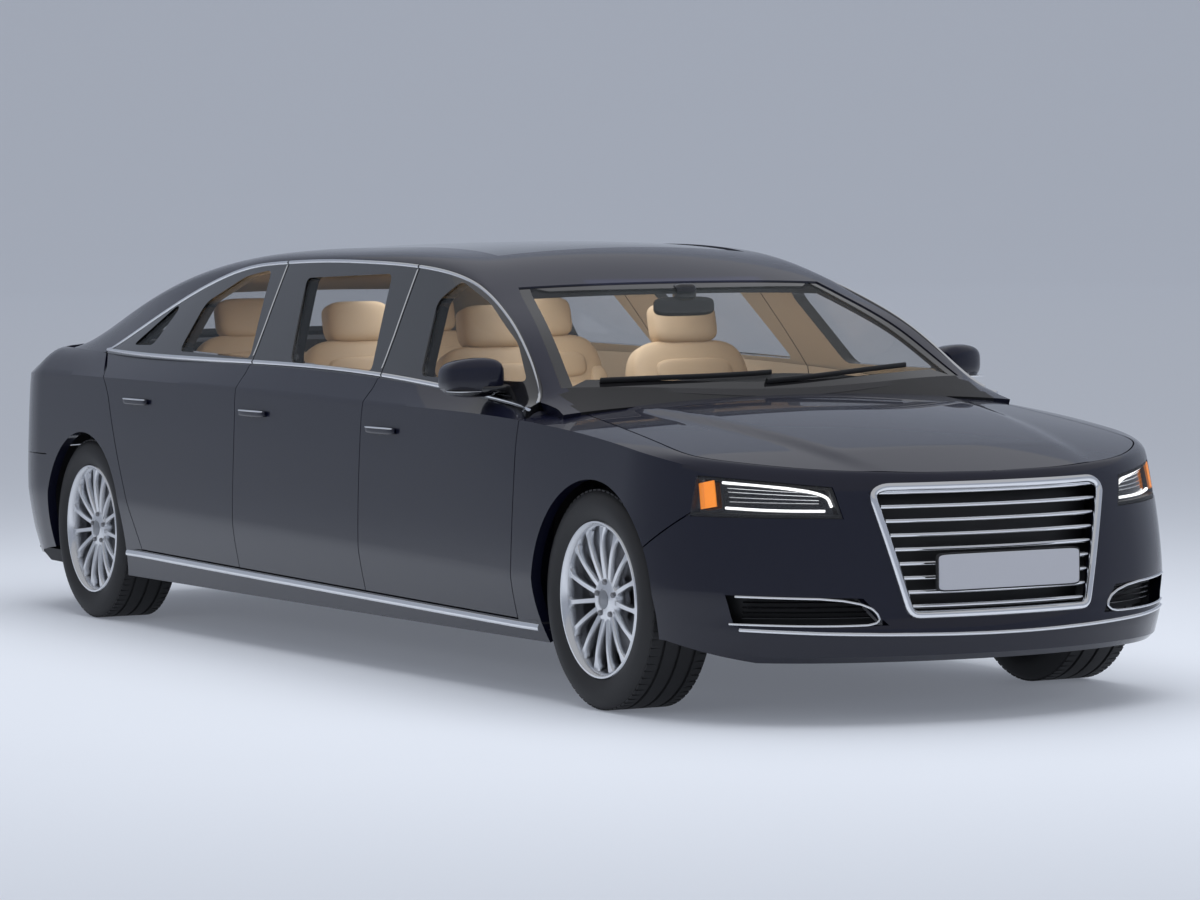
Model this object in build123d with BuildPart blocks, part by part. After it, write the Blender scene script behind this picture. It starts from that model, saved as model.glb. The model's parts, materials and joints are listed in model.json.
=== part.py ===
from build123d import *
from math import cos, radians, sin
import os

# Six-door stretch limousine: body panels, doors, glass, lamps, wheels, running gear and cabin.
# Millimetres. Origin on the ground under the middle of the car, +X to its front, +Y to its left, +Z up.
os.makedirs("parts", exist_ok=True)

# Overall sizes
LENGTH = 6360.0
WHEELBASE = 4220.0
FRONT_OVERHANG = 985.0
HALF_WIDTH = 974.0
UNDERSIDE_Z = 190.0
NOSE_X = LENGTH / 2
TAIL_X = -LENGTH / 2
FRONT_AXLE_X = NOSE_X - FRONT_OVERHANG
REAR_AXLE_X = FRONT_AXLE_X - WHEELBASE

# Walls and gaps
SHUT_GAP = 6.0            # between a moving panel and its neighbours
HALF_GAP = SHUT_GAP / 2
DOOR_INNER_Y = 835.0      # trim face of the doors, below the belt
FRAME_THICKNESS = 42.0    # window frames, pillars and roof
SCREEN_DEPTH = 60.0       # depth of the openings for the fixed screens
FRAME_DEPTH = 58.0        # how far in from the skin the door openings reach above the belt
SEAL_GAP = 3.0    # room for the door seals between the window frames and the pillars
SKIN_THICKNESS = 36.0     # hood, trunk lid, front wings and rear quarters with their inner frames
END_THICKNESS = 70.0      # bumper covers with their foam
GLASS_THICKNESS = 5.0
GLASS_INSET = 5.0         # glass lies this far inside the skin
FLOOR_THICKNESS = 60.0
RUNNING_PLAY = 0.3        # between a pin or a rest and its seat
SHUT_RAKE = 0.36          # shut faces run forwards with depth, so that a door's lock end is shorter inside

# Wheels
TYRE_RADIUS = 356.0
TYRE_WIDTH = 255.0
SEAT_RADIUS = 241.0       # bead seat of the rim
FLANGE_RADIUS = 256.0
RIM_HALF_WIDTH = 112.0
RIM_WALL = 9.0
SPOKES = 15
# Tyre: a many-sided ring, columns: distance outwards, radius
TYRE_SIDES = 56
TREAD_BANDS = [(-127.5, 306), (-118, 338), (-96, TYRE_RADIUS), (96, TYRE_RADIUS), (118, 338), (127.5, 306)]
BEAD_Y = RIM_HALF_WIDTH - 12
BEAD_CONE = [(114, FLANGE_RADIUS), (TYRE_WIDTH / 2, 306)]
# Rim and hub profiles, columns: distance outwards, radius
RIM_PROFILE = [(-RIM_HALF_WIDTH, FLANGE_RADIUS), (-RIM_HALF_WIDTH + 12, FLANGE_RADIUS),
               (-RIM_HALF_WIDTH + 12, SEAT_RADIUS), (RIM_HALF_WIDTH - 12, SEAT_RADIUS),
               (RIM_HALF_WIDTH - 12, FLANGE_RADIUS), (RIM_HALF_WIDTH, FLANGE_RADIUS),
               (RIM_HALF_WIDTH - 6, SEAT_RADIUS - RIM_WALL), (-RIM_HALF_WIDTH, SEAT_RADIUS - RIM_WALL)]
HUB_PROFILE = [(20, 29.5), (20, 82), (70, 82), (84, 62), (84, 0), (34, 0), (34, 29.5)]
# Spoke outline, columns: radius, half width
SPOKE_OUTLINE = [(60, -11), (215, -9), (238, -24), (238, 24), (215, 9), (60, 11)]
SPOKE_FACE = 96.0
SPOKE_DEPTH = 36.0
WHEEL_Y = 815.0
STEER_AXIS_Y = 765.0
ARCH_RADIUS = 386.0
ARCH_LIP_Y = 900.0
LINER = 18.0
# Wheel housings, columns: axle x, radius, inner y
HOUSINGS = [(FRONT_AXLE_X, 422.0, 478.0), (REAR_AXLE_X, ARCH_RADIUS + 6, 640.0)]

# Lower body sections, half widths and heights from the sill to the top centre
# columns: x, sill y, bulge y, shoulder y, shoulder z, belt y, belt z, top z
BODY_SECTIONS = [
    (TAIL_X, 852, 892, 872, 930, 775, 1008, 1040),
    (TAIL_X + 480, 905, 945, 925, 960, 812, 1062, 1096),
    (REAR_AXLE_X, 932, HALF_WIDTH - 4, 950, 966, 858, 1056, 1085),
    (-600, 940, HALF_WIDTH - 6, 952, 956, 902, 1042, 1046),
    (800, 940, HALF_WIDTH - 6, 952, 936, 902, 1010, 1014),
    (1700, 938, HALF_WIDTH - 6, 946, 915, 872, 942, 982),
    (FRONT_AXLE_X, 934, HALF_WIDTH - 4, 930, 876, 824, 893, 938),
    (NOSE_X - 380, 905, 940, 880, 780, 800, 800, 842),
    (NOSE_X, 860, 890, 790, 680, 700, 712, 752),
]
SILL_Z = 262.0
SILL_CHAMFER = 60.0
BULGE_Z = 720.0

# Greenhouse sections, columns: x, belt y, belt z, rail y, rail z, top z
ROOF_SECTIONS = [
    (-2560, 815, 1058, 676, 1106, 1122),
    (-2150, 850, 1058, 684, 1222, 1250),
    (-1650, 878, 1052, 682, 1352, 1385),
    (-1000, 895, 1046, 668, 1436, 1468),
    (-200, 902, 1032, 660, 1456, 1490),
    (500, 902, 1016, 654, 1446, 1486),
    (830, 900, 1009, 668, 1396, 1446),
    (1108, 893, 1001, 714, 1298, 1346),
    (1410, 882, 985, 772, 1172, 1214),
    (1720, 868, 970, 812, 992, 1070),
    (1870, 850, 936, 790, 942, 966),
]
BELT_LAP = 40.0           # the greenhouse form runs this far down into the lower body
BELT_FLARE = 0.5
BELT_STEP = 6.0

# Plan of the two ends, columns: end x, direction, half chord and sweep of the middle arc
PLAN_FRONT = (NOSE_X, 1, 560.0, 126.0)
PLAN_REAR = (TAIL_X, -1, 560.0, 105.0)
PLAN_SIDE_Y = HALF_WIDTH + 12

# Side profile of the two ends, columns: distance back from the end, z
NOSE_PROFILE = [(60, 762), (24, 335), (0, 290), (12, 215), (60, UNDERSIDE_Z)]
TAIL_PROFILE = [(60, 1052), (18, 900), (0, 560), (20, 330), (130, UNDERSIDE_Z)]
SKY_Z = 1700.0

# Shut lines of the right-hand doors, points on the skin from the sill upwards
FRONT_EDGE = [(1659, -925, 262), (1672, -962, 480), (1682, -966, 700), (1686, -955, 860), (1712, -890, 962)]
MIDDLE_EDGE = [(516, -930, 284), (508, -960, 470), (518, -966, 800), (524, -948, 935), (572, -902, 1016),
               (446, -676, 1416)]
REAR_EDGE = [(-556, -930, 293), (-566, -960, 470), (-552, -966, 800), (-560, -948, 960), (-516, -902, 1044),
             (-640, -680, 1424)]
LAST_EDGE = [(-1482, -938, 306), (-1520, -960, 400), (-1636, -966, 610), (-1712, -962, 760), (-1800, -925, 968),
             (-2010, -848, 1062)]
FRONT_TOP = [(1414, -786, 1180), (1108, -722, 1302), (830, -690, 1378)]
MIDDLE_TOP = [(-200, -672, 1430)]
REAR_TOP = [(-995, -696, 1408), (-1303, -742, 1338), (-1620, -790, 1226)]
DOORS = {
    "front": FRONT_EDGE + FRONT_TOP + MIDDLE_EDGE[::-1],
    "middle": MIDDLE_EDGE + MIDDLE_TOP + REAR_EDGE[::-1],
    "rear": REAR_EDGE + REAR_TOP + LAST_EDGE[::-1],
}

# Window outlines in each right-hand door, points on the skin
WINDOWS = {
    "front": [[(852, -888, 1036), (716, -750, 1270), (812, -705, 1340), (1080, -740, 1262), (1380, -810, 1136),
               (1530, -860, 1030)]],
    "middle": [[(-206, -890, 1058), (-404, -710, 1338), (276, -698, 1362), (472, -890, 1042)]],
    "rear": [[(-1250, -884, 1078), (-1215, -780, 1250), (-960, -720, 1346), (-750, -698, 1372), (-565, -890, 1066)],
             [(-1755, -858, 1092), (-1510, -780, 1250), (-1470, -790, 1235), (-1545, -868, 1094)]],
}
# Door handles, columns: centre x, centre z
HANDLES = {"front": (694, 846), "middle": (-381, 870), "rear": (-1475, 880)}
HANDLE_SIZE = (215.0, 22.0, 26.0)
# x of each door's hinge; the door is thinner in front of it, where it swings inwards
HINGES = {"front": 1690.0, "middle": 522.0, "rear": -553.0}
HINGE_RELIEF = 20.0
HINGE_RELIEF_X = (-6.0, 130.0)
HINGE_RELIEF_Z = 1060.0

# Top-view half outlines, columns: x, y
HOOD_EDGE = [(1700, 772), (2412, 826), (2740, 852), (2815, 838), (3060, 535), (3086, 420)]
HOOD_BOWS = (26.0, 165.0)
WINDSCREEN_EDGE = [(1684, 778), (1410, 706), (1108, 622), (1040, 598)]
WINDSCREEN_BOWS = (60.0, 148.0)
REAR_SCREEN_EDGE = [(-2490, 590), (-1830, 556)]
REAR_SCREEN_BOWS = (-50.0, -50.0)
ROOF_GLASS_EDGE = [(-1450, 500), (700, 500)]
ROOF_GLASS_BOWS = (20.0, -20.0)
TRUNK_EDGE = [(-2575, 640), (-2980, 690), (-3300, 690)]
TRUNK_BOWS = (-20.0, -20.0)
TRUNK_FACE_Y = 500.0
TRUNK_BASE_Z = 640.0
TRUNK_TOP_Z = 960.0

SCREEN_BASE_Z = 966.0
SCREENS = {
    "windscreen": (WINDSCREEN_EDGE, WINDSCREEN_BOWS),
    "rear_screen": (REAR_SCREEN_EDGE, REAR_SCREEN_BOWS),
    "roof_glass": (ROOF_GLASS_EDGE, ROOF_GLASS_BOWS),
}

# Front-view half outlines, columns: y, z
GRILLE_EDGE = [(366, 742), (430, 716), (330, 334)]
LAMP_EDGE = [(1000, 662), (898, 648), (510, 640), (532, 738), (880, 778), (1000, 790)]
INTAKE_EDGE = [(822, 408), (470, 396), (400, 312), (800, 312)]
TAIL_LAMP_EDGE = [(506, 820), (506, 925), (1000, 950), (1000, 845)]
# Top-view outlines of the lamps' room, columns: x, y
LAMP_ROOM = [(2760, 1000), (2730, 850), (2960, 500), (3300, 500), (3300, 1000)]
INTAKE_ROOM = [(2800, 1000), (2780, 800), (3040, 390), (3300, 390), (3300, 1000)]
TAIL_LAMP_ROOM = [(-2780, 1000), (-2760, 850), (-3010, 490), (-3300, 490), (-3300, 1000)]
GRILLE_BACK_X = 3060.0
GRILLE_FRAME = 16.0
GRILLE_FRAME_DEPTH = 58.0
SLATS = 11
SLAT_HEIGHT = 9.0
SLAT_DEPTH = 40.0
LENS_THICKNESS = 6.0

# Joints between fixed outer panels
BUMPER_X = 2880.0
BUMPER_Z = 456.0
TAIL_BUMPER_X = -2660.0
TAIL_BUMPER_Z = 640.0
FENDER_X = (1600.0, 2920.0)
FENDER_Y = 700.0
FENDER_Z = 262.0
QUARTER_Y = 596.0
BELT_TOP_Z = 1000.0
GREENHOUSE_X = (-2600.0, 1900.0)

# Cabin and bays
CABIN_X = (-1790.0, 1690.0)
CABIN_TOP_Z = 960.0
CABIN_REAR_TOP_Z = 1040.0
CABIN_STEP_X = 1300.0
BULKHEAD = 50.0
FIREWALL = 60.0
SHELF_X = -2470.0
SHELF_Z = 1094.0
COWL_X = 1660.0
ROOF_PANEL_X = (-1830.0, 1100.0)
ROOF_PANEL_Y = 596.0
ROOF_PANEL_Z = 1240.0
LID_HINGE_X = (-2640.0, -2569.0, -2520.0)    # rear of the leaf, its root and its front
LID_HINGE_Y = (-440.0, -380.0)
LID_HINGE_Z = (1010.0, 1075.0)

# Side-view outlines, columns: x, z
HOOD_WEDGE = [(1600, 1300), (1600, 890), (2195, 835), (2800, 745), (3150, 745), (3150, 1300)]
BUMPER_SIDE = [(2400, 0), (2400, BUMPER_Z), (BUMPER_X, BUMPER_Z), (BUMPER_X, 830), (3400, 830), (3400, 0)]
TAIL_BUMPER_SIDE = [(TAIL_BUMPER_X, 0), (TAIL_BUMPER_X, TAIL_BUMPER_Z), (-3400, TAIL_BUMPER_Z), (-3400, 0)]
SEAT_CUSHION = [(0, 180), (0, 300), (520, 350), (530, 250), (500, 180)]
SEAT_BACK = [(10, 280), (-190, 860), (-70, 880), (130, 330)]
SEAT_HEAD = [(-180, 840), (-215, 1020), (-125, 1030), (-85, 840)]
SEAT_WIDTHS = (540.0, 500.0, 270.0)
SEAT_Y = 390.0
SEAT_ROWS = [560.0, -560.0, -1560.0]    # x of each cushion's rear
DASH_SIDE = [(1690, 480), (1690, 930), (1480, 950), (1330, 890), (1310, 760), (1430, 520)]
DASH_HALF_Y = 812.0
CONSOLE = ((620.0, 1560.0), (-120.0, 120.0))
CONSOLE_Z = 560.0

# Steering wheel
WHEEL_CENTRE = (1170.0, 390.0, 815.0)
WHEEL_TILT = 24.0
WHEEL_RING = 182.0
WHEEL_GRIP = 15.0
COLUMN_RADIUS = 30.0
COLUMN_LENGTH = 124.0
BOSS_RADIUS = 42.0
BOSS_START = 126.0
BOSS_LENGTH = 120.0
SPINDLE_RADIUS = 14.0      # runs in the boss
SPINDLE_LENGTH = 60.0

# Running gear
STUB_RADIUS = 29.0
HUB_BORE = 29.5
PIN_RADIUS = 12.0
EYE_RADIUS = 34.0
KNUCKLE_Z = (245.0, 470.0)
ARM_THICKNESS = 28.0
ARM_WIDTH = 60.0
ARM_GAP = 5.0
STUB_END_Y = 846.0
BRACKET = (150.0, 22.0)
ENGINE = ((2080.0, 2760.0), (-290.0, 290.0), 740.0)

# Door mirrors
MIRROR_CENTRE = (1390.0, -978.0, 1042.0)
MIRROR_SIZE = (180.0, 154.0, 138.0)
MIRROR_ROUND = 45.0
MIRROR_CHAMFER = 24.0
MIRROR_FOOT = ((1380.0, 1470.0), (-960.0, -850.0), (985.0, 1020.0))


def side_plane(y):
    # Side view from the right: local x runs forwards, local y upwards
    return Plane(origin=(0, y, 0), x_dir=(1, 0, 0), z_dir=(0, -1, 0))


def section_plane(x):
    # Cross-section: local x runs to the left, local y upwards
    return Plane(origin=(x, 0, 0), x_dir=(0, 1, 0), z_dir=(1, 0, 0))


def end_arcs(end, inset):
    # Tip, mid-arc point, shoulder, corner point and side point of one end's plan, on the right
    tip_x, direction, chord, sweep = end
    side_y = PLAN_SIDE_Y - inset
    radius = (chord**2 + sweep**2) / (2 * sweep)
    lean = chord / radius
    tip = tip_x - direction * inset
    drop = radius - (radius**2 - (chord / 2) ** 2) ** 0.5
    corner_radius = (side_y - chord) / (1 - lean)
    centre_x = tip - direction * (sweep + corner_radius * (1 - lean**2) ** 0.5)
    turn = radians(60)
    corner = (centre_x + direction * corner_radius * cos(turn), corner_radius * (1 - sin(turn)) - side_y)
    return [(tip, 0), (tip - direction * drop, -chord / 2), (tip - direction * sweep, -chord), corner,
            (centre_x, -side_y)]


def crown(edge_y, edge_z, top_z):
    # A point half-way along the crowned top from the right edge to the centre line
    rise = top_z - edge_z
    radius = (edge_y**2 + rise**2) / (2 * rise)
    return (-edge_y / 2, top_z - radius + (radius**2 - (edge_y / 2) ** 2) ** 0.5)


def lower_body(side, top, end, base):
    # Right half of the lower body to the belt, hood and deck, with its walls moved in
    with BuildPart() as form:
        for x, sill_y, bulge_y, shoulder_y, shoulder_z, belt_y, belt_z, top_z in BODY_SECTIONS:
            foot = (side + SILL_CHAMFER - sill_y, UNDERSIDE_Z + base)
            sill = (side - sill_y, SILL_Z + base)
            shoulder = (side - shoulder_y, shoulder_z - top)
            belt = (side - belt_y, belt_z - top)
            with BuildSketch(section_plane(x)):
                with BuildLine():
                    Polyline((0, top_z - top), (0, foot[1]), foot, sill)
                    ThreePointArc(sill, (side - bulge_y, BULGE_Z), shoulder)
                    Line(shoulder, belt)
                    ThreePointArc(belt, crown(belt_y - side, belt[1], top_z - top), (0, top_z - top))
                make_face()
        loft()
        front = end_arcs(PLAN_FRONT, end)
        rear = end_arcs(PLAN_REAR, end)
        with BuildSketch():
            with BuildLine():
                ThreePointArc(front[0], front[1], front[2])
                ThreePointArc(front[2], front[3], front[4])
                Line(front[4], rear[4])
                ThreePointArc(rear[4], rear[3], rear[2])
                ThreePointArc(rear[2], rear[1], rear[0])
                Line(rear[0], front[0])
            make_face()
        extrude(amount=SKY_Z, mode=Mode.INTERSECT)
        nose = [(NOSE_X - end - back, z) for back, z in NOSE_PROFILE]
        tail = [(TAIL_X + end + back, z) for back, z in TAIL_PROFILE]
        with BuildSketch(side_plane(0)):
            with BuildLine():
                Polyline((tail[0][0], SKY_Z), (nose[0][0], SKY_Z), *nose, *reversed(tail), close=True)
            make_face()
        extrude(amount=1.2 * HALF_WIDTH, mode=Mode.INTERSECT)
    return form.part


def greenhouse(side, top):
    # Right half of the pillars, windows and roof above the belt, with the side and the top moved in
    with BuildPart() as form:
        for x, belt_y, belt_z, rail_y, rail_z, top_z in ROOF_SECTIONS:
            flare = min((belt_y - rail_y) / (rail_z - belt_z), BELT_FLARE)
            rail = (side - rail_y, rail_z - top)
            belt = (side - belt_y, min(belt_z, rail[1] - BELT_STEP))
            base = (side - belt_y - BELT_LAP * flare, min(belt_z - BELT_LAP, belt[1] - BELT_STEP))
            with BuildSketch(section_plane(x)):
                with BuildLine():
                    Polyline((0, top_z - top), (0, base[1]), base, belt, rail)
                    ThreePointArc(rail, crown(rail_y - side, rail[1], top_z - top), (0, top_z - top))
                make_face()
        loft()
    return form.part


def block(x, y, z):
    # A box between two limits on each axis
    with BuildPart() as box:
        with Locations(((x[0] + x[1]) / 2, (y[0] + y[1]) / 2, (z[0] + z[1]) / 2)):
            Box(x[1] - x[0], y[1] - y[0], z[1] - z[0])
    return box.part


def side_prism(outline, grow):
    # A raked prism through the right-hand side, from an outline of points on the skin
    start = -HALF_WIDTH - 40
    depth = HALF_WIDTH - ROOF_PANEL_Y + 40
    with BuildPart() as prism:
        with BuildSketch(side_plane(start)) as sketch:
            with BuildLine():
                Polyline(*[(x + SHUT_RAKE * (start - y), z) for x, y, z in outline], close=True)
            make_face()
            if grow:
                offset(amount=grow, kind=Kind.INTERSECTION, mode=Mode.REPLACE)
        extrude(amount=depth * (1 + SHUT_RAKE**2) ** 0.5, dir=(SHUT_RAKE, 1, 0))
    return prism.part


def top_prism(half_edge, bows, grow, z):
    # The right half of a prism seen from above, from its edge, with its last end and its first end bowed
    right = [(x, -y) for x, y in half_edge]
    with BuildPart() as prism:
        with BuildSketch(Plane.XY.offset(z[0])):
            with BuildLine():
                Polyline(*half_edge)
                ThreePointArc(half_edge[-1], (half_edge[-1][0] + bows[0], 0), right[-1])
                Polyline(*right)
                ThreePointArc(half_edge[0], (half_edge[0][0] + bows[1], 0), right[0])
            make_face()
            if grow:
                offset(amount=grow, mode=Mode.REPLACE)
            split(bisect_by=Plane.XZ, keep=Keep.TOP)
        extrude(amount=z[1] - z[0])
    return prism.part


def front_prism(outline, x, room):
    # A prism seen from the front on the right-hand side, kept to a room seen from above
    with BuildPart() as prism:
        with BuildSketch(section_plane(x[0])):
            with BuildLine():
                Polyline(*[(-y, z) for y, z in outline], close=True)
            make_face()
        extrude(amount=x[1] - x[0])
        with BuildSketch():
            with BuildLine():
                Polyline(*[(u, -v) for u, v in room], close=True)
            make_face()
        extrude(amount=SKY_Z, mode=Mode.INTERSECT)
    return prism.part


def side_view(outline, y):
    # A prism between two y limits, from a side-view outline
    with BuildPart() as prism:
        with BuildSketch(side_plane(y[1])):
            with BuildLine():
                Polyline(*outline, close=True)
            make_face()
        extrude(amount=y[1] - y[0])
    return prism.part


RIGHT = (-1200.0, 0.0)
ALL_Z = (0.0, SKY_Z)

# Whole forms, right half
outer_lower = lower_body(0, 0, 0, 0)
inner_lower = lower_body(SKIN_THICKNESS, SKIN_THICKNESS, END_THICKNESS, FLOOR_THICKNESS)
lens_back = lower_body(LENS_THICKNESS, LENS_THICKNESS, LENS_THICKNESS, 0)
outer_roof = greenhouse(0, 0)
inner_roof = greenhouse(FRAME_THICKNESS, FRAME_THICKNESS)
screen_floor = greenhouse(SCREEN_DEPTH, SCREEN_DEPTH)
glass_outside = greenhouse(GLASS_INSET, GLASS_INSET)
glass_inside = greenhouse(GLASS_INSET + GLASS_THICKNESS, GLASS_INSET + GLASS_THICKNESS)

with BuildPart() as housings:
    for x, radius, inner_y in HOUSINGS:
        with BuildSketch(side_plane(-inner_y)):
            with Locations((x, TYRE_RADIUS)):
                Circle(radius)
        extrude(amount=ARCH_LIP_Y - inner_y)
        with BuildSketch(side_plane(-ARCH_LIP_Y)):
            with Locations((x, TYRE_RADIUS)):
                Circle(ARCH_RADIUS)
        extrude(amount=HALF_WIDTH - ARCH_LIP_Y + 100)

with BuildPart() as liners:
    for x, radius, inner_y in HOUSINGS:
        with BuildSketch(side_plane(LINER - inner_y)):
            with Locations((x, TYRE_RADIUS)):
                Circle(radius + LINER)
        extrude(amount=HALF_WIDTH - inner_y + 100)

with BuildPart() as bays:
    add(inner_lower)
    add(block((CABIN_X[0] - BULKHEAD, CABIN_X[1] + FIREWALL), RIGHT, ALL_Z), mode=Mode.SUBTRACT)
    add(liners.part, mode=Mode.SUBTRACT)

with BuildPart() as cabin:
    add(inner_roof)
    add(block((SHELF_X, COWL_X), RIGHT, ALL_Z), mode=Mode.INTERSECT)
    add(block((SHELF_X, CABIN_X[0]), RIGHT, (0, SHELF_Z)), mode=Mode.SUBTRACT)
    add(block(CABIN_X, (-DOOR_INNER_Y, 0), (UNDERSIDE_Z + FLOOR_THICKNESS, CABIN_TOP_Z)))
    add(block((CABIN_X[0], CABIN_STEP_X), (-DOOR_INNER_Y, 0), (CABIN_TOP_Z, CABIN_REAR_TOP_Z)))

with BuildPart() as shell:
    add(outer_lower)
    add(outer_roof)
    add([bays.part, cabin.part, housings.part], mode=Mode.SUBTRACT)

# Fixed screens and the roof glass
with BuildPart() as screen_rooms:
    for edge, bows in SCREENS.values():
        add(top_prism(edge, bows, 0, (SCREEN_BASE_Z, SKY_Z)))
    add(screen_floor, mode=Mode.SUBTRACT)
with BuildPart() as fixed_glass:
    for edge, bows in SCREENS.values():
        add(top_prism(edge, bows, 0, (SCREEN_BASE_Z, SKY_Z)))
    add(glass_outside, mode=Mode.INTERSECT)
    add(glass_inside, mode=Mode.SUBTRACT)
    mirror(about=Plane.XZ)
fixed_glass.part.label = "fixed_glass"
export_step(fixed_glass.part, "parts/fixed_glass.step")


def hood_room(grow):
    with BuildPart() as room:
        add(side_view(HOOD_WEDGE, RIGHT))
        add(top_prism(HOOD_EDGE, HOOD_BOWS, grow, (600, SKY_Z)), mode=Mode.INTERSECT)
    return room.part


def trunk_room(grow):
    with BuildPart() as room:
        add(top_prism(TRUNK_EDGE, TRUNK_BOWS, grow, (TRUNK_TOP_Z - grow, SKY_Z)))
        add(block((-3400, -2900), (-TRUNK_FACE_Y - grow, 0), (TRUNK_BASE_Z - grow, TRUNK_TOP_Z + 10)))
    return room.part


with BuildPart() as hood:
    add(shell.part)
    add(hood_room(-HALF_GAP), mode=Mode.INTERSECT)
    mirror(about=Plane.XZ)
hood.part.label = "hood"
export_step(hood.part, "parts/hood.step")

with BuildPart() as trunk_lid:
    add(shell.part)
    add(trunk_room(-HALF_GAP), mode=Mode.INTERSECT)
    mirror(about=Plane.XZ)
trunk_lid.part.label = "trunk_lid"
export_step(trunk_lid.part, "parts/trunk_lid.step")

# Lamps, intakes and grille openings
with BuildPart() as grille_room:
    with BuildSketch(section_plane(GRILLE_BACK_X)):
        with BuildLine():
            Polyline((0, GRILLE_EDGE[0][1]), *[(-y, z) for y, z in GRILLE_EDGE], (0, GRILLE_EDGE[-1][1]), close=True)
        make_face()
    extrude(amount=300)
lamp_room = front_prism(LAMP_EDGE, (2600, 3400), LAMP_ROOM)
intake_room = front_prism(INTAKE_EDGE, (2600, 3400), INTAKE_ROOM)
tail_room = front_prism(TAIL_LAMP_EDGE, (-3400, -2600), TAIL_LAMP_ROOM)

with BuildPart() as end_rooms:
    add(grille_room.part)
    add(lamp_room)
    add(intake_room)
    add(tail_room)

with BuildPart() as rest:
    add(shell.part)
    lid_rooms = (hood_room(HALF_GAP), trunk_room(HALF_GAP))
    add([screen_rooms.part, *lid_rooms, end_rooms.part], mode=Mode.SUBTRACT)

# Bumpers and roof panel
front_room = side_view(BUMPER_SIDE, RIGHT)
rear_room = side_view(TAIL_BUMPER_SIDE, RIGHT)
roof_room = block(ROOF_PANEL_X, (-ROOF_PANEL_Y, 0), (ROOF_PANEL_Z, SKY_Z))

with BuildPart() as front_bumper:
    add(rest.part)
    add(front_room, mode=Mode.INTERSECT)
    mirror(about=Plane.XZ)
front_bumper.part.label = "front_bumper"
export_step(front_bumper.part, "parts/front_bumper.step")

with BuildPart() as rear_bumper:
    add(rest.part)
    add(rear_room, mode=Mode.INTERSECT)
    mirror(about=Plane.XZ)
rear_bumper.part.label = "rear_bumper"
export_step(rear_bumper.part, "parts/rear_bumper.step")

with BuildPart() as roof_panel:
    add(rest.part)
    add(roof_room, mode=Mode.INTERSECT)
    mirror(about=Plane.XZ)
roof_panel.part.label = "roof_panel"
export_step(roof_panel.part, "parts/roof_panel.step")

# Doors and their glass
with BuildPart() as door_limit:
    add(greenhouse(FRAME_DEPTH, -FRAME_THICKNESS))
    add(block((-2600, 2000), (-DOOR_INNER_Y, 0), (0, BELT_TOP_Z)))
    add(block((-2600, CABIN_STEP_X), (-DOOR_INNER_Y, 0), (BELT_TOP_Z, CABIN_REAR_TOP_Z)))

frame_limit = greenhouse(FRAME_DEPTH - SEAL_GAP, -FRAME_THICKNESS)
handle_x, handle_y, handle_z = HANDLE_SIZE
for name, outline in DOORS.items():
    hinge_x = [HINGES[name] + x for x in HINGE_RELIEF_X]
    with BuildPart() as door:
        add(shell.part)
        add(side_prism(outline, -HALF_GAP), mode=Mode.INTERSECT)
        relief = block(hinge_x, (-DOOR_INNER_Y - HINGE_RELIEF, 0), (0, HINGE_RELIEF_Z))
        holes = [side_prism(window, 0) for window in WINDOWS[name]]
        add([door_limit.part, frame_limit, relief, *holes], mode=Mode.SUBTRACT)
        centre_x, centre_z = HANDLES[name]
        with Locations((centre_x, -HALF_WIDTH, centre_z)):
            Box(handle_x, handle_y, handle_z)
        add(door.part.solids().sort_by(SortBy.VOLUME)[-1], mode=Mode.REPLACE)
    door.part.label = f"door_{name}_right"
    export_step(door.part, f"parts/door_{name}_right.step")
    with BuildPart() as left_door:
        mirror(door.part, about=Plane.XZ)
    left_door.part.label = f"door_{name}_left"
    export_step(left_door.part, f"parts/door_{name}_left.step")
    with BuildPart() as panes:
        for window in WINDOWS[name]:
            add(side_prism(window, 0))
        add(glass_outside, mode=Mode.INTERSECT)
        add(glass_inside, mode=Mode.SUBTRACT)
    panes.part.label = f"glass_{name}_right"
    export_step(panes.part, f"parts/glass_{name}_right.step")
    with BuildPart() as left_panes:
        mirror(panes.part, about=Plane.XZ)
    left_panes.part.label = f"glass_{name}_left"
    export_step(left_panes.part, f"parts/glass_{name}_left.step")

with BuildPart() as door_rooms:
    for outline in DOORS.values():
        add(side_prism(outline, HALF_GAP))
    add(door_limit.part, mode=Mode.SUBTRACT)

# Front wing, body side with sill, pillars, roof rail and rear quarter, and the floor with its bulkheads
fender_room = block(FENDER_X, (-1200, -FENDER_Y), (FENDER_Z, BELT_TOP_Z))
with BuildPart() as side_room:
    add(block(CABIN_X, (-1200, -DOOR_INNER_Y), (0, BELT_TOP_Z)))
    add(block(GREENHOUSE_X, (-1200, -QUARTER_Y), (BELT_TOP_Z, SKY_Z)))
    add(block((-3400, CABIN_X[0]), (-1200, -QUARTER_Y), (UNDERSIDE_Z + FLOOR_THICKNESS, BELT_TOP_Z)))

with BuildPart() as fixed_rooms:
    add(front_room)
    add(rear_room)
    add(roof_room)

with BuildPart() as side_rest:
    add(rest.part)
    add([fixed_rooms.part, door_rooms.part], mode=Mode.SUBTRACT)

with BuildPart() as fender:
    add(side_rest.part)
    add(fender_room, mode=Mode.INTERSECT)

with BuildPart() as body_side:
    add(side_rest.part)
    add(fender_room, mode=Mode.SUBTRACT)
    middle_rest = body_side.part
    add(side_room.part, mode=Mode.INTERSECT)

lid_rest = SKIN_THICKNESS + RUNNING_PLAY
with BuildPart() as lid_hinge:
    add(lower_body(lid_rest, lid_rest, END_THICKNESS, FLOOR_THICKNESS))
    add(block(LID_HINGE_X[:2], LID_HINGE_Y, LID_HINGE_Z), mode=Mode.INTERSECT)
    add(block(LID_HINGE_X[1:], LID_HINGE_Y, LID_HINGE_Z))

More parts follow.
